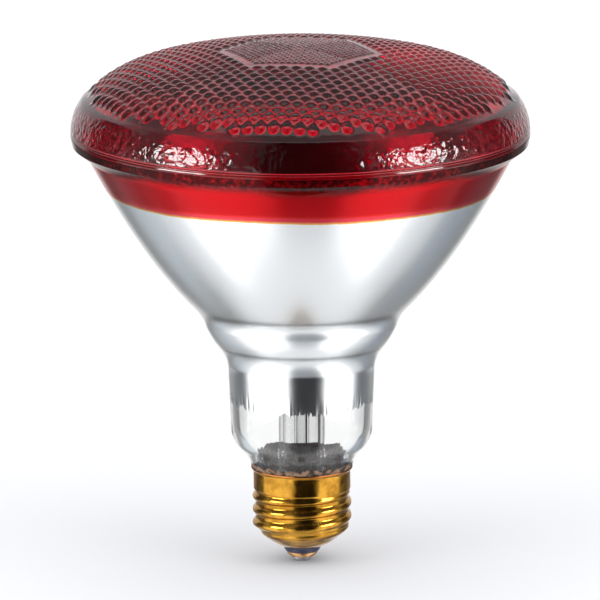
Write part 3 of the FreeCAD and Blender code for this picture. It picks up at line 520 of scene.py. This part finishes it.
def stippleTree(inputNames):
    tree = bpy.data.node_groups.new("lensStipple", "GeometryNodeTree")
    tree.interface.new_socket("Geometry", in_out="INPUT", socket_type="NodeSocketGeometry")
    tree.interface.new_socket("Geometry", in_out="OUTPUT", socket_type="NodeSocketGeometry")
    for name in inputNames:
        tree.interface.new_socket(name, in_out="INPUT", socket_type="NodeSocketFloat")
    n = Nodes(tree)
    start = tree.nodes.new("NodeGroupInput").outputs
    end = tree.nodes.new("NodeGroupOutput").inputs
    place = n.make("GeometryNodeInputPosition")
    flat = n.vector("MULTIPLY", place, (1, 1, 0))
    turn = n.sum("MULTIPLY", start["Turn"], -1)
    turnedPlace = n.make("ShaderNodeVectorRotate", flat, rotation_type="Z_AXIS", Angle=turn)

    # coarse bumps outside the hexagon, bumps of half the pitch inside it
    size, height = start["Bump Radius"], start["Bump Height"]
    gap, centre = lattice(n, turnedPlace, start["Pitch"])
    inReach = n.sum("LESS_THAN", n.vector("LENGTH", centre), start["Reach"])
    border = n.sum("ADD", start["Hexagon Outer"], n.sum("MULTIPLY", size, stipple["coarseMargin"]))
    outside = n.sum("GREATER_THAN", hexagonReach(n, centre), border)
    coarse = n.sum("MULTIPLY", n.sum("MULTIPLY", inReach, outside), dome(n, gap, size, height))
    fineGap, fineCentre = lattice(n, turnedPlace, n.sum("MULTIPLY", start["Pitch"], 0.5))
    edge = n.sum("SUBTRACT", start["Hexagon Inner"], n.sum("MULTIPLY", size, stipple["fineMargin"]))
    inside = n.sum("LESS_THAN", hexagonReach(n, fineCentre), edge)
    fineSize = n.sum("MULTIPLY", size, stipple["fineWidth"])
    fineDome = dome(n, fineGap, fineSize, n.sum("MULTIPLY", height, stipple["fineHeight"]))
    bumps = n.sum("ADD", coarse, n.sum("MULTIPLY", inside, fineDome))

    # the bumps rise back to the lens's own surface from a face set in by their height
    radius = n.vector("LENGTH", flat)
    faceFade = n.sum("SUBTRACT", start["Face Reach"], stipple["faceFade"] * mm)
    onFace = n.ramp(radius, faceFade, start["Face Reach"], 1.0, 0.0)
    stippled = n.sum("MULTIPLY", n.sum("SUBTRACT", bumps, height), onFace)

    # hammering on the shoulder, between the face and the moulding line
    overSeam = n.ramp(n.sum("SUBTRACT", n.axes(place)[2], start["Seam"]),
                      *(height * mm for height in stipple["hammerFoot"]))
    hammerStart = n.sum("ADD", start["Face Reach"], stipple["hammerStart"] * mm)
    offFace = n.ramp(radius, start["Face Reach"], hammerStart)
    dents = n.speckle(place, start["Hammer Scale"], 2.0)
    hammer = n.sum("MULTIPLY", n.sum("SUBTRACT", dents, stipple["hammerLevel"]), start["Hammer Height"])
    hammered = n.sum("MULTIPLY", n.sum("MULTIPLY", hammer, overSeam), offFace)

    isOuter = n.make("GeometryNodeInputNamedAttribute", data_type="FLOAT", Name="outerFace")
    lift = n.sum("MULTIPLY", n.sum("ADD", stippled, hammered), isOuter)
    offset = n.make("ShaderNodeVectorMath", n.make("GeometryNodeInputNormal"), operation="SCALE",
                    Scale=lift)
    moved = n.make("GeometryNodeSetPosition", Geometry=start["Geometry"], Offset=offset)
    real = n.make("GeometryNodeRealizeInstances", moved)
    outer = n.sum("GREATER_THAN", isOuter, 0.01)
    dressed = n.make("GeometryNodeSetMaterial", Geometry=real, Selection=outer, Material=redGlass)
    n.link(dressed, end["Geometry"])
    return tree


def redGlassFinish():
    # a clear red glass, with a fine grain as bump on the shoulder
    made = principled("redGlass", Base_Color=(0.57, 0.005, 0.018, 1), Roughness=0.015, IOR=1.5,
                      Transmission_Weight=1.0)
    n = Nodes(made.node_tree)
    shader = made.node_tree.nodes["Principled BSDF"]
    place = n.output("ShaderNodeTexCoord", "Object")
    radius = n.vector("LENGTH", n.vector("MULTIPLY", place, (1, 1, 0)))
    offFace = n.ramp(radius, *((lensForm["faceReach"] + step) * mm for step in stipple["grainStart"]))
    overSeam = n.ramp(n.axes(place)[2], *((widest + step) * mm for step in stipple["grainFoot"]))
    grain = n.speckle(place, stipple["grainScale"] / mm, 2.0)
    bump = n.make("ShaderNodeBump", Strength=n.sum("MULTIPLY", offFace, overSeam),
                  Distance=stipple["grainDepth"] * mm, Height=grain)
    n.link(bump, shader.inputs["Normal"])
    return made


redGlass = redGlassFinish()


def makeLens():
    points, faces, painted, outerCount = lensMesh()
    mesh = bpy.data.meshes.new("lensBlank")
    mesh.from_pydata([tuple(p * mm for p in point) for point in points], [], faces)
    mesh.materials.append(redGlass)
    mesh.materials.append(clearGlass)
    mesh.polygons.foreach_set("material_index", painted)
    blank = bpy.data.objects.new("lensBlank", mesh)
    bpy.context.collection.objects.link(blank)
    work = bmesh.new()
    work.from_mesh(mesh)
    bmesh.ops.recalc_face_normals(work, faces=work.faces)
    work.to_mesh(mesh)
    work.free()
    marks = mesh.attributes.new("outerFace", "FLOAT", "POINT")
    marks.data.foreach_set("value", [1.0 if v < outerCount else 0.0 for v in range(len(points))])
    values = stippleSizes()
    tree = stippleTree(values)
    modifier = blank.modifiers.new("stipple", "NODES")
    modifier.node_group = tree
    for item in tree.interface.items_tree:
        if item.in_out == "INPUT" and item.name in values:
            modifier[item.identifier] = values[item.name]
    graph = bpy.context.evaluated_depsgraph_get()
    made = bpy.data.meshes.new_from_object(blank.evaluated_get(graph))
    bpy.data.objects.remove(blank)
    lens = bpy.data.objects.new("lens_stippled", made)
    bpy.context.collection.objects.link(lens)
    finishPiece(lens, "lens", lensForm["sharpFrom"])


makeLens()
print("lens made")

# Reflector: pressed glass bowl, heel and neck

bowlForm = {
    "flangeDepth": 2.0, "flangeDraft": 0.35, "flangeLedge": 4.0,
    "heel": (26.3, 67.14), "heelRound": 21.5,
    "waist": (22.0, 58.4), "waistRound": 11.0,
    "neckTop": (19.4, 52.9), "neckFoot": (18.65, 35.6), "neckWall": 2.2,
    "shoulderRound": 8.0, "coneTop": (16.9, 31.2), "coneTopBore": 14.04, "coneRound": 24.0,
    "throat": (11.2, 21.5), "throatWall": 1.5,
    "insideRise": 0.55,       # how much higher the neck's foot lies on the inside
    "bowlInset": 1.785, "wall": 2.0, "focalShare": 0.28, "vertexShare": 1.12,
    "mirrorFoot": 24.3, "creaseRound": 3.0,
    "sink": 0.06,             # how far the silver film lies within the glass
    "rimSink": 0.05,          # how far the bowl's rim is fused into the lens
}
heel = bowlForm["heel"]
bowlSeam = seamRadius - bowlForm["bowlInset"]
bowlFocal = (bowlSeam ** 2 - heel[0] ** 2) / (4 * (seamHeight - heel[1]))
bowlVertex = heel[1] - heel[0] ** 2 / (4 * bowlFocal)
mirrorFocal = bowlFocal - bowlForm["focalShare"] * bowlForm["wall"]
mirrorVertex = bowlVertex + bowlForm["vertexShare"] * bowlForm["wall"]
flangeRadius = seamRadius - bowlForm["flangeDraft"]
flangeFoot = seamHeight - bowlForm["flangeDepth"]
mouthRadius = flangeRadius - bowlForm["flangeLedge"]


def offsetLine(line, depthAt):
    # a line moved to the right of its run by depthAt(share of the way)
    moved = []
    for i, (r, z) in enumerate(line):
        before, after = line[max(i - 1, 0)], line[min(i + 1, len(line) - 1)]
        dr, dz = after[0] - before[0], after[1] - before[1]
        depth = depthAt(i / (len(line) - 1)) / math.hypot(dr, dz)
        moved.append((r + dz * depth, z - dr * depth))
    return moved


def softened(line, index, size, steps=8):
    # a corner of a line rounded off over this length on both sides
    def walk(step):
        i, left = index, size
        while 0 <= i + step < len(line):
            (r1, z1), (r2, z2) = line[i], line[i + step]
            run = math.hypot(r2 - r1, z2 - z1)
            if run >= left:
                share = left / run
                return i + step, (r1 + (r2 - r1) * share, z1 + (z2 - z1) * share)
            i, left = i + step, left - run
        return i, line[i]

    (before, start), (after, end), corner = walk(-1), walk(1), line[index]
    bend = []
    for i in range(steps + 1):
        t = i / steps
        bend.append(tuple((1 - t) ** 2 * start[k] + 2 * t * (1 - t) * corner[k] + t * t * end[k]
                          for k in range(2)))
    return line[:before + 1] + bend + line[after:]


def heelLine():
    line = [heel]
    line += arc(line[-1], bowlForm["waist"], bowlForm["heelRound"], -1, 18)
    return line + arc(line[-1], bowlForm["neckTop"], bowlForm["waistRound"], 1, 14)


def mirrorOutline(inset, top, foot=None):
    # the inside of the bowl and neck, from the rim down to the neck's foot or to a height
    focal = mirrorFocal - bowlForm["focalShare"] * inset
    vertex = mirrorVertex + bowlForm["vertexShare"] * inset
    mouth = math.sqrt(4 * focal * (top - vertex))
    line = parabola(vertex, focal, mouth, bowlForm["mirrorFoot"] - inset, 48)
    walls = bowlForm["wall"], bowlForm["neckWall"]
    inner = offsetLine(heelLine(), lambda share: walls[0] + (walls[1] - walls[0]) * share + inset)
    line = softened(line + inner[1:], len(line) - 1, bowlForm["creaseRound"])
    neckFoot = (bowlForm["neckFoot"][0] - bowlForm["neckWall"] - inset,
                bowlForm["neckFoot"][1] + bowlForm["insideRise"])
    if foot is None:
        return line + straight(line[-1], neckFoot, 10)
    share = (line[-1][1] - foot) / (line[-1][1] - neckFoot[1])
    low = (line[-1][0] + (neckFoot[0] - line[-1][0]) * share, foot)
    return line + straight(line[-1], low, 24)


def reflectorOutline():
    rim = seamHeight + bowlForm["rimSink"]
    line = [(seamRadius, rim), (flangeRadius, flangeFoot)]
    line += parabola(bowlVertex, bowlFocal, mouthRadius, heel[0], 48)
    line = softened(line + heelLine()[1:], len(line) - 1, bowlForm["creaseRound"])
    line += straight(line[-1], bowlForm["neckFoot"], 8)
    line += arc(line[-1], bowlForm["coneTop"], bowlForm["shoulderRound"], -1, 8)
    line += arc(line[-1], bowlForm["throat"], bowlForm["coneRound"], 1, 12)
    seal = lowest("reflector")
    throatBore = bowlForm["throat"][0] - bowlForm["throatWall"]
    line += [(bowlForm["throat"][0], seal), (throatBore, seal)]
    line += [(throatBore, bowlForm["throat"][1] + bowlForm["throatWall"])]
    boreTop = (bowlForm["coneTopBore"], bowlForm["coneTop"][1])
    inside = arc(line[-1], boreTop, bowlForm["coneRound"], -1, 8)
    mirror = mirrorOutline(0.0, rim)
    inside += arc(inside[-1], mirror[-1], bowlForm["shoulderRound"], 1, 6)[:-1]
    return line + inside + mirror[::-1]


turned("reflector_glass", reflectorOutline(), clearGlass, "reflector")

filmForm = {
    "thickness": 0.1,
    "topDrop": 0.05,          # from the seam down to the film's upper edge
    "edge": 43.3,
    "ragged": 2.4,            # height of the flakes at the lower edge
    "steadyAbove": 48.2,
    "flakes": ((4, 0.35), (17, 0.35), (45, 0.45), (110, 0.5)),    # how fine, and share of the height
    "segments": 384,
}


def filmOutline():
    # part of the film lies in the glass, so that no gap of air shows between them
    top, foot = seamHeight - filmForm["topDrop"], filmForm["edge"]
    outer = mirrorOutline(-bowlForm["sink"], top, foot)
    inner = mirrorOutline(filmForm["thickness"] - bowlForm["sink"], top, foot)
    return outer + inner[::-1]


def flakedEdge(angle, radius, height):
    # the film's lower edge breaks off unevenly
    share = 1 - smoothStep(height, filmForm["edge"], filmForm["steadyAbove"])
    x, y = math.cos(angle), math.sin(angle)
    rise = sum(size * noise.noise((x * often, y * often, often)) for often, size in filmForm["flakes"])
    return radius, height + share * rise * filmForm["ragged"]


turned("silver_film_seen", filmOutline(), silver, "silver_film",
       segments=filmForm["segments"], shift=flakedEdge)

lacquerForm = {
    "thickness": 0.1,
    "gap": 0.02,              # between the glass and the lacquer
    "lean": (0.85, 0.5),      # outwards and down, square to the bowl's wall
    "edgeHeight": 101.3,
    "waviness": 0.22,
    "waves": ((3, 1.0, 0.4), (7, 0.6, 1.9)),      # times round, height and start
    "grain": ((14, 0.5, 2.0), (45, 0.4, 5.0)),    # how fine, height and seed
    "thinEdge": 0.75,         # height of the orange edge
    "flangeShadeSteps": ((0.6, 3.0, 2.0), (0.4, 0.5, 0.0)),     # share of painted shade, and its run below the flange
    "segments": 384,
}


def lacquerOutline():
    def sheet(out):
        line = [(seamRadius + out, seamHeight), (flangeRadius + out, flangeFoot - out / 2)]
        foot = math.sqrt(4 * bowlFocal * (lacquerForm["edgeHeight"] - bowlVertex))
        bowl = parabola(bowlVertex, bowlFocal, mouthRadius, foot, 40)
        across, down = lacquerForm["lean"]
        return line + [(r + out * across, z - out * down) for r, z in bowl]

    return sheet(lacquerForm["gap"]) + sheet(lacquerForm["thickness"])[::-1]


def edgeRise(angle):
    # the lacquer's lower edge runs a little up and down round the bowl
    wave = sum(size * math.sin(often * angle + start) for often, size, start in lacquerForm["waves"])
    wave += sum(size * noise.noise((often * math.cos(angle), often * math.sin(angle), seed))
                for often, size, seed in lacquerForm["grain"])
    return wave * lacquerForm["waviness"]


def wavyEdge(angle, radius, height):
    # the lower half of the band follows its edge, along the bowl
    drop = (flangeFoot - height) / (flangeFoot - lacquerForm["edgeHeight"])
    if drop < 0.5:
        return radius, height
    rise = edgeRise(angle) * (drop - 0.5) * 2
    return radius + rise * 2 * bowlFocal / radius, height + rise


def makeLacquer():
    piece = turned("lacquer_band_seen", lacquerOutline(), redLacquer, "lacquer_band",
                   segments=lacquerForm["segments"], shift=wavyEdge)
    mesh = piece.data
    thin, flangeShade = [], []
    for vertex in mesh.vertices:
        x, y, z = (c / mm for c in vertex.co)
        edge = lacquerForm["edgeHeight"] + edgeRise(math.atan2(y, x))
        thin.append(max(0.0, 1 - (z - edge) / lacquerForm["thinEdge"]))
        # painted shade: darker over the flange and the top of the bowl just below it
        flangeShade.append(sum(share * smoothStep(z, flangeFoot - low, flangeFoot - high)
                         for share, low, high in lacquerForm["flangeShadeSteps"]))
    mesh.attributes.new("thin", "FLOAT", "POINT").data.foreach_set("value", thin)
    mesh.attributes.new("flangeShade", "FLOAT", "POINT").data.foreach_set("value", flangeShade)


makeLacquer()
print("reflector, film and lacquer made")

# Base: brass shell with its rolled thread, and the cement in its mouth

shellForm = {
    "skirtFoot": (6.0, 4.3), "skirtRound": 13.0, "rootRadius": 12.33, "rootFoot": 9.9,
    "rootTop": 18.9, "bandFoot": 19.9, "bandRadius": 12.83, "rimFoot": 24.5, "rimTop": 25.5,
    "rimFlare": 0.6, "wall": 0.3,
    "crestRadius": 13.08, "crestRound": 1.3, "threadPitch": 3.629, "threadFoot": 8.3,
    "threadTurn": -22.6, "rootSoftness": 0.12,
    "runout": (5.4, 10.6, 17.6, 20.3),    # heights where the thread starts, is full, fades and ends
    "flareDrop": 0.2,         # how far below the rim's own foot and top the flare lies
    "flarePower": 1.5,
    "redRim": (0.55, 0.1),    # below the rim's top, where the brass turns redder
    "dent": 0.035,            # how far the sheet wanders from true
    "dentScale": 0.22,
    "rowHeight": 0.13,
    "segments": 240,
}


def ridgeRadius(angle, height):
    # the thread's crest arc with its two straight flanks, at this angle and height
    form = shellForm
    turn = (angle - math.radians(form["threadTurn"])) / (2 * math.pi)
    pitch = form["threadPitch"]
    gap = abs((height - form["threadFoot"] - turn * pitch + pitch / 2) % pitch - pitch / 2)
    bend = form["crestRound"] * math.sqrt(0.5)
    if gap <= bend:
        return form["crestRadius"] - form["crestRound"] + math.sqrt(form["crestRound"] ** 2 - gap ** 2)
    return form["crestRadius"] - form["crestRound"] + bend - (gap - bend)


def softMax(first, second, softness):
    return (first + second + math.sqrt((first - second) ** 2 + softness ** 2)) / 2


skirtLine = [shellForm["skirtFoot"]]
skirtLine += arc(skirtLine[0], (shellForm["rootRadius"], shellForm["rootFoot"]),
                 shellForm["skirtRound"], 1, 40)


def shellRadius(angle, height):
    form = shellForm
    plain = form["rootRadius"] + (form["bandRadius"] - form["rootRadius"]) * smoothStep(
        height, form["rootTop"], form["bandFoot"])
    low, full, end, gone = form["runout"]
    amount = smoothStep(height, low, full) * (1 - smoothStep(height, end, gone))
    threaded = softMax(plain, ridgeRadius(angle, height), form["rootSoftness"])
    radius = plain + (threaded - plain) * amount
    for (r1, z1), (r2, z2) in zip(skirtLine, skirtLine[1:]):
        if z1 <= height < z2:
            radius += r1 + (r2 - r1) * (height - z1) / (z2 - z1) - form["rootRadius"]
    drop = form["flareDrop"]
    flare = smoothStep(height, form["rimFoot"] - drop, form["rimTop"] - drop) ** form["flarePower"]
    return radius + form["rimFlare"] * flare


def makeShell():
    form = shellForm
    rows = int((form["rimTop"] - form["rootFoot"]) / form["rowHeight"])
    heights = [form["rootFoot"] + (form["rimTop"] - form["rootFoot"]) * i / rows
               for i in range(1, rows + 1)]
    points, faces, rings = [], [], []

    def addRing(radiusAt, height):
        first = len(points)
        for k in range(form["segments"]):
            angle = 2 * math.pi * k / form["segments"]
            radius = radiusAt(angle)
            x, y = radius * math.cos(angle), radius * math.sin(angle)
            dent = noise.noise([c * form["dentScale"] for c in (x, y, height)]) * form["dent"]
            share = (radius + dent) / radius
            points.append((x * share, y * share, height))
        rings.append(list(range(first, len(points))))

    for r, z in skirtLine:
        addRing(lambda angle, z=z: shellRadius(angle, z), z)
    for z in heights:
        addRing(lambda angle, z=z: shellRadius(angle, z), z)
    for z in heights[::-1]:
        addRing(lambda angle, z=z: shellRadius(angle, z) - form["wall"], z)
    for r, z in skirtLine[::-1]:
        lean = (r - form["skirtFoot"][0]) / (form["rootRadius"] - form["skirtFoot"][0])
        addRing(lambda angle, z=z, lean=lean: shellRadius(angle, z) - form["wall"] * lean,
                z + form["wall"] * (1 - lean))
    for index in range(len(rings)):
        low, high = rings[index], rings[(index + 1) % len(rings)]
        for k in range(form["segments"]):
            after = (k + 1) % form["segments"]
            faces.append((low[k], low[after], high[after], high[k]))
    brass = brassFinish(*(form["rimTop"] - drop for drop in form["redRim"]))
    addPiece("screw_shell_rolled", points, faces, brass, "screw_shell")


makeShell()
print("shell made")

cementForm = {
    "edge": 26.9,
    "ragged": 1.0,
    "grain": ((3.1, 1.0, 1.0), (11, 0.5, 3.0), (30, 0.3, 7.0)),   # how fine, height and seed
    "lumps": (26, 2.1, 0.12),     # how fine round and up, and height
    "lift": 0.02,             # off the glass
    "shellGap": 0.06,
    "bulge": 0.34,
    "edgeThickness": 0.05,
    "taper": 0.4,             # below the rim's top, where it starts to thin out
    "calmEdge": 0.6,          # how much of the lumps is gone at the edge
    "thinnest": 0.02,
    "rows": 30,
    "segments": 300,
}


def makeCement():
    # a ragged ring between the glass cone and the shell, climbing the glass above the rim
    form = cementForm
    cone = [bowlForm["coneTop"]] + arc(bowlForm["coneTop"], bowlForm["throat"],
                                       bowlForm["coneRound"], 1, 40)

    def glassRadius(height):
        for (r1, z1), (r2, z2) in zip(cone, cone[1:]):
            if z2 <= height <= z1:
                return r2 + (r1 - r2) * (height - z2) / (z1 - z2)
        return cone[-1][0]

    foot = lowest("basing_cement")
    fine, steep, lumpHeight = form["lumps"]
    points, faces, rings = [], [], []
    for k in range(form["segments"]):
        angle = 2 * math.pi * k / form["segments"]
        x, y = math.cos(angle), math.sin(angle)
        rise = sum(size * noise.noise((x * often, y * often, seed)) for often, size, seed in form["grain"])
        edge = form["edge"] + form["ragged"] * rise
        inner, outer = [], []
        for row in range(form["rows"] + 1):
            z = foot + (edge - foot) * row / form["rows"]
            near = glassRadius(z) + form["lift"]
            lump = noise.noise((x * fine, y * fine, z * steep)) * lumpHeight
            bore = shellRadius(angle, z) - shellForm["wall"] - form["shellGap"]
            above = smoothStep(z, shellForm["rimTop"] - form["taper"], edge)
            swell = form["bulge"] * (1 - above) + form["edgeThickness"]
            swell += lump * (1 - above * form["calmEdge"])
            spill = smoothStep(z, shellForm["rimFoot"], shellForm["rimTop"])
            far = max(bore + (near + swell - bore) * spill, near + form["thinnest"])
            inner.append((near * x, near * y, z))
            outer.append((far * x, far * y, z))
        loop = inner + outer[::-1]
        rings.append(list(range(len(points), len(points) + len(loop))))
        points += loop
    for index in range(len(rings)):
        ring, following = rings[index], rings[(index + 1) % len(rings)]
        for k in range(len(ring)):
            after = (k + 1) % len(ring)
            faces.append((ring[k], following[k], following[after], ring[after]))
    addPiece("cement_ragged", points, faces, cement, "basing_cement")


makeCement()

tipForm = {
    "topInset": 0.4, "noseSide": (6.0, 4.45), "noseFoot": (4.6, 2.8), "noseRound": 3.0,
    "plugTop": (4.1, 2.4), "plugFoot": (2.9, 1.85),   # the glass within the eyelet
    "eyeletTop": (4.2, 2.75), "eyeletFoot": (3.3, 1.15), "eyeletRound": 1.9, "boreRound": 1.7,
    "sheet": 0.3,
    "solderFlat": 1.65, "solderSide": (3.0, 1.2), "solderRound": 1.8, "solderTop": (2.6, 1.35),
    "lumps": (0.6, 0.12, 0.25),                       # how fine, and how far across and up
}


def makeTip():
    # glass nose, the eyelet pressed on it and the flattened drop of solder
    form = tipForm
    top = highest("insulator")
    nose = [(0, top), (reach("insulator") - form["topInset"], top), form["noseSide"]]
    nose += arc(nose[-1], form["noseFoot"], form["noseRound"], 1, 8)
    nose += [form["plugTop"], form["plugFoot"], (0, form["plugFoot"][1])]
    turned("insulator_glass", nose, blackGlass, "insulator")

    sheet = form["sheet"]
    (mouth, mouthHeight), (flat, foot) = form["eyeletTop"], form["eyeletFoot"]
    cap = [(mouth, mouthHeight)]
    cap += arc(cap[-1], (flat, foot), form["eyeletRound"], -1, 8)
    cap += [(0, foot), (0, foot + sheet), (flat - sheet, foot + sheet)]
    cap += arc(cap[-1], (mouth - sheet, mouthHeight), form["boreRound"], 1, 6)
    turned("contact_eyelet_pressed", cap, copper, "contact_eyelet")

    def uneven(angle, radius, height):
        fine, across, up = form["lumps"]
        lump = noise.noise((radius * math.cos(angle) * fine, radius * math.sin(angle) * fine, height))
        return radius * (1 + across * lump), max(height + up * lump * height, 0.0)

    drop = [(0, 0.0), (form["solderFlat"], 0.0)]
    drop += arc(drop[-1], form["solderSide"], form["solderRound"], 1, 8)
    drop += [form["solderTop"], (0, form["solderTop"][1])]
    turned("solder_drop", drop, solder, "solder_tip", shift=uneven)


makeTip()

for nodeName, finish, slotName in (
        ("stem_tube", tubeGlass, "stem_glass"), ("exhaust_tube", tubeGlass, "stem_glass"),
        ("support_rod", clearGlass, "stem_glass"), ("centre_lead", leadWire, "lead_wire"),
        ("side_lead", leadWire, "lead_wire"), ("filament", filamentWire, "filament_wire"),
        *((f"filament_support_{number}", filamentWire, "filament_wire") for number in (1, 2, 3)),
        ("side_solder", solder, "solder")):
    dressNode(nodeName, finish)
print("inner parts and base made")

# Stage, lights and camera

stageForm = {
    "floorSize": 6.0, "floorShade": (0.90, 0.91, 0.94),
    "fillLight": 1.12,        # even light of the room on matt surfaces
    "lampPlace": (1.6, -1.2, 1.8), "lampSize": (1.2, 1.2), "lampPower": 7,    # metres and watts
    "room": (0.30, 0.30, 0.30),   # what metal and glass mirror between the panels
    "insideDimmed": 0.15,     # how much of the ceiling is left in what shows inside the lamp
    "dimmedFrom": (2.0, 30.0),    # degrees above the horizon
    "metalOnFloor": (0.12, 0.12, 0.13),   # what the floor gets by way of the metal
}

# What metal and glass mirror, as panels of the room seen from the lamp: from and to, in degrees,
# round from the camera's side (positive to the right) and up from the horizon. Panels marked
# both lie on the left and right. A later panel lies over an earlier one.
panels = [
    {"shade": (0.42, 0.42, 0.43), "around": (108, 200), "up": (33, 100), "both": True, "soft": 5},
    {"shade": (1.35, 1.33, 1.32), "around": (-112, 112), "up": (65, 100), "soft": 3},
    {"shade": (0.82, 0.83, 0.85), "around": (100, 200), "up": (-8, 38), "both": True},
    {"shade": (0.08, 0.08, 0.09), "around": (102, 134), "up": (-10, 32), "both": True, "soft": 5},
    {"shade": (0.93, 0.94, 0.95), "around": (-400, 400), "up": (-100, -58), "soft": 6},
    {"shade": (0.80, 0.82, 0.84), "around": (97, 125), "up": (-60, -22), "both": True, "soft": 6},
    {"shade": (1.7, 1.7, 1.7), "around": (-102, -20), "up": (-68, -3), "soft": 6},
    {"shade": (1.7, 1.7, 1.7), "around": (38, 98), "up": (-68, -3), "soft": 6},
    {"shade": (20, 20, 20), "around": (-76, -50), "up": (4, 23), "soft": 2},
    {"shade": (20, 20, 20), "around": (50, 76), "up": (4, 23), "soft": 2},
    {"shade": (0.02, 0.02, 0.022), "around": (-20, 37), "up": (-34, 65), "soft": 5},
    {"shade": (0.34, 0.36, 0.39), "around": (-26, 34), "up": (-66, -40), "soft": 13},
    {"shade": (0.60, 0.66, 0.71), "around": (-146, -124), "up": (-46, -24), "soft": 7},
    {"shade": (0.32, 0.37, 0.43), "around": (126, 146), "up": (-46, -24), "soft": 7},
    {"shade": (0.08, 0.09, 0.11), "around": (104, 136), "up": (-20, -12), "both": True, "soft": 5},
    {"shade": (1.0, 1.0, 1.0), "around": (162, 200), "up": (-44, 4), "both": True, "soft": 6},
    {"shade": (0.20, 0.12, 0.05), "around": (155, 200), "up": (-87, -73), "both": True, "soft": 4},
]


def brightest(n, path, names):
    total = path.outputs[names[0]]
    for name in names[1:]:
        total = n.sum("MAXIMUM", total, path.outputs[name])
    return total


def makeFloor():
    mesh = bpy.data.meshes.new("floor")
    size = stageForm["floorSize"]
    mesh.from_pydata([(-size, -size, 0), (size, -size, 0), (size, size, 0), (-size, size, 0)],
                     [], [(0, 1, 2, 3)])
    shade = stageForm["floorShade"]
    made = principled("paleFloor", Base_Color=(*shade, 1), Roughness=1.0, Specular_IOR_Level=0.0)
    mesh.materials.append(made)
    floor = bpy.data.objects.new("floor", mesh)
    floor.visible_glossy = False          # metal and glass mirror the panels of the room
    floor.visible_transmission = False
    bpy.context.collection.objects.link(floor)


def panelShare(n, around, aside, up, panel):
    soft = panel.get("soft", 3)
    turn = aside if panel.get("both") else around
    share = None
    for value, (low, high) in ((turn, panel["around"]), (up, panel["up"])):
        rise = n.ramp(value, low - soft, low + soft)
        fall = n.ramp(value, high - soft, high + soft, 1.0, 0.0)
        band = n.sum("MULTIPLY", rise, fall)
        share = band if share is None else n.sum("MULTIPLY", share, band)
    return share


def makeWorld():
    world = bpy.data.worlds.new("studio")
    world.use_nodes = True
    n = Nodes(world.node_tree)
    path = world.node_tree.nodes.new("ShaderNodeLightPath")
    way = n.axes(n.output("ShaderNodeTexCoord", "Generated"))
    around = n.sum("DEGREES", n.sum("ARCTAN2", way[0], n.sum("MULTIPLY", way[1], -1.0)))
    aside = n.sum("ABSOLUTE", around)
    up = n.sum("DEGREES", n.sum("ARCSINE", way[2]))
    shade = (*stageForm["room"], 1)
    for panel in panels:
        shade = n.blend(panelShare(n, around, aside, up, panel), shade, (*panel["shade"], 1))
    inside = n.sum("GREATER_THAN", path.outputs["Transmission Depth"], 0.5)
    ceiling = n.ramp(up, *stageForm["dimmedFrom"], 0.0, 1 - stageForm["insideDimmed"])
    dimmed = n.sum("MULTIPLY", inside, ceiling)
    shade = n.blend(dimmed, shade, (0, 0, 0, 1))
    # what is seen straight through clear glass is the white background
    mirrored = n.sum("GREATER_THAN", path.outputs["Glossy Depth"], 0.5)
    seen = n.blend(mirrored, (1, 1, 1, 1), shade)
    # no bright panels are thrown onto the floor by the metal
    thrown = n.sum("MULTIPLY", mirrored, n.sum("GREATER_THAN", path.outputs["Diffuse Depth"], 0.5))
    seen = n.blend(thrown, seen, (*stageForm["metalOnFloor"], 1))
    strength = n.ramp(brightest(n, path, ("Is Camera Ray", "Is Glossy Ray", "Is Transmission Ray")),
                      0.0, 1.0, stageForm["fillLight"], 1.0)
    background = world.node_tree.nodes["Background"]
    n.link(seen, background.inputs["Color"])
    n.link(strength, background.inputs["Strength"])
    bpy.context.scene.world = world


def makeSoftbox(name, side):
    x, y, z = stageForm["lampPlace"]
    data = bpy.data.lights.new(name, "AREA")
    data.shape = "RECTANGLE"
    data.size, data.size_y = stageForm["lampSize"]
    data.energy = stageForm["lampPower"]
    lamp = bpy.data.objects.new(name, data)
    lamp.location = (x * side, y, z)
    lamp.rotation_euler = Vector(lamp.location).to_track_quat("Z", "Y").to_euler()
    lamp.visible_camera = False
    lamp.visible_glossy = False
    lamp.visible_transmission = False
    bpy.context.collection.objects.link(lamp)


makeFloor()
makeWorld()
makeSoftbox("softboxLeft", -1)
makeSoftbox("softboxRight", 1)
print("stage made")

cameraView = {
    "distance": 2.6,          # metres from the lamp
    "aimHeight": 0.0702,      # metres
    "elevation": 12.5,        # degrees above the horizon
    "pixelsPerMetre": 3800,
    "imageWidth": 600,
    "sideStep": -0.0003,      # metres
    "roll": -0.26,            # degrees
}


def makeCamera():
    lift = math.radians(cameraView["elevation"])
    back = Vector((0, -math.cos(lift), math.sin(lift)))
    aim = Vector((cameraView["sideStep"], 0, cameraView["aimHeight"]))
    data = bpy.data.cameras.new("camera")
    span = cameraView["imageWidth"] / cameraView["pixelsPerMetre"]
    data.lens = data.sensor_width * cameraView["distance"] / span
    camera = bpy.data.objects.new("camera", data)
    camera.location = aim + back * cameraView["distance"]
    camera.rotation_euler = (-back).to_track_quat("-Z", "Y").to_euler()
    camera.rotation_euler.rotate_axis("Z", math.radians(cameraView["roll"]))
    bpy.context.collection.objects.link(camera)
    bpy.context.scene.camera = camera


makeCamera()
bpy.context.scene.view_settings.view_transform = "Standard"
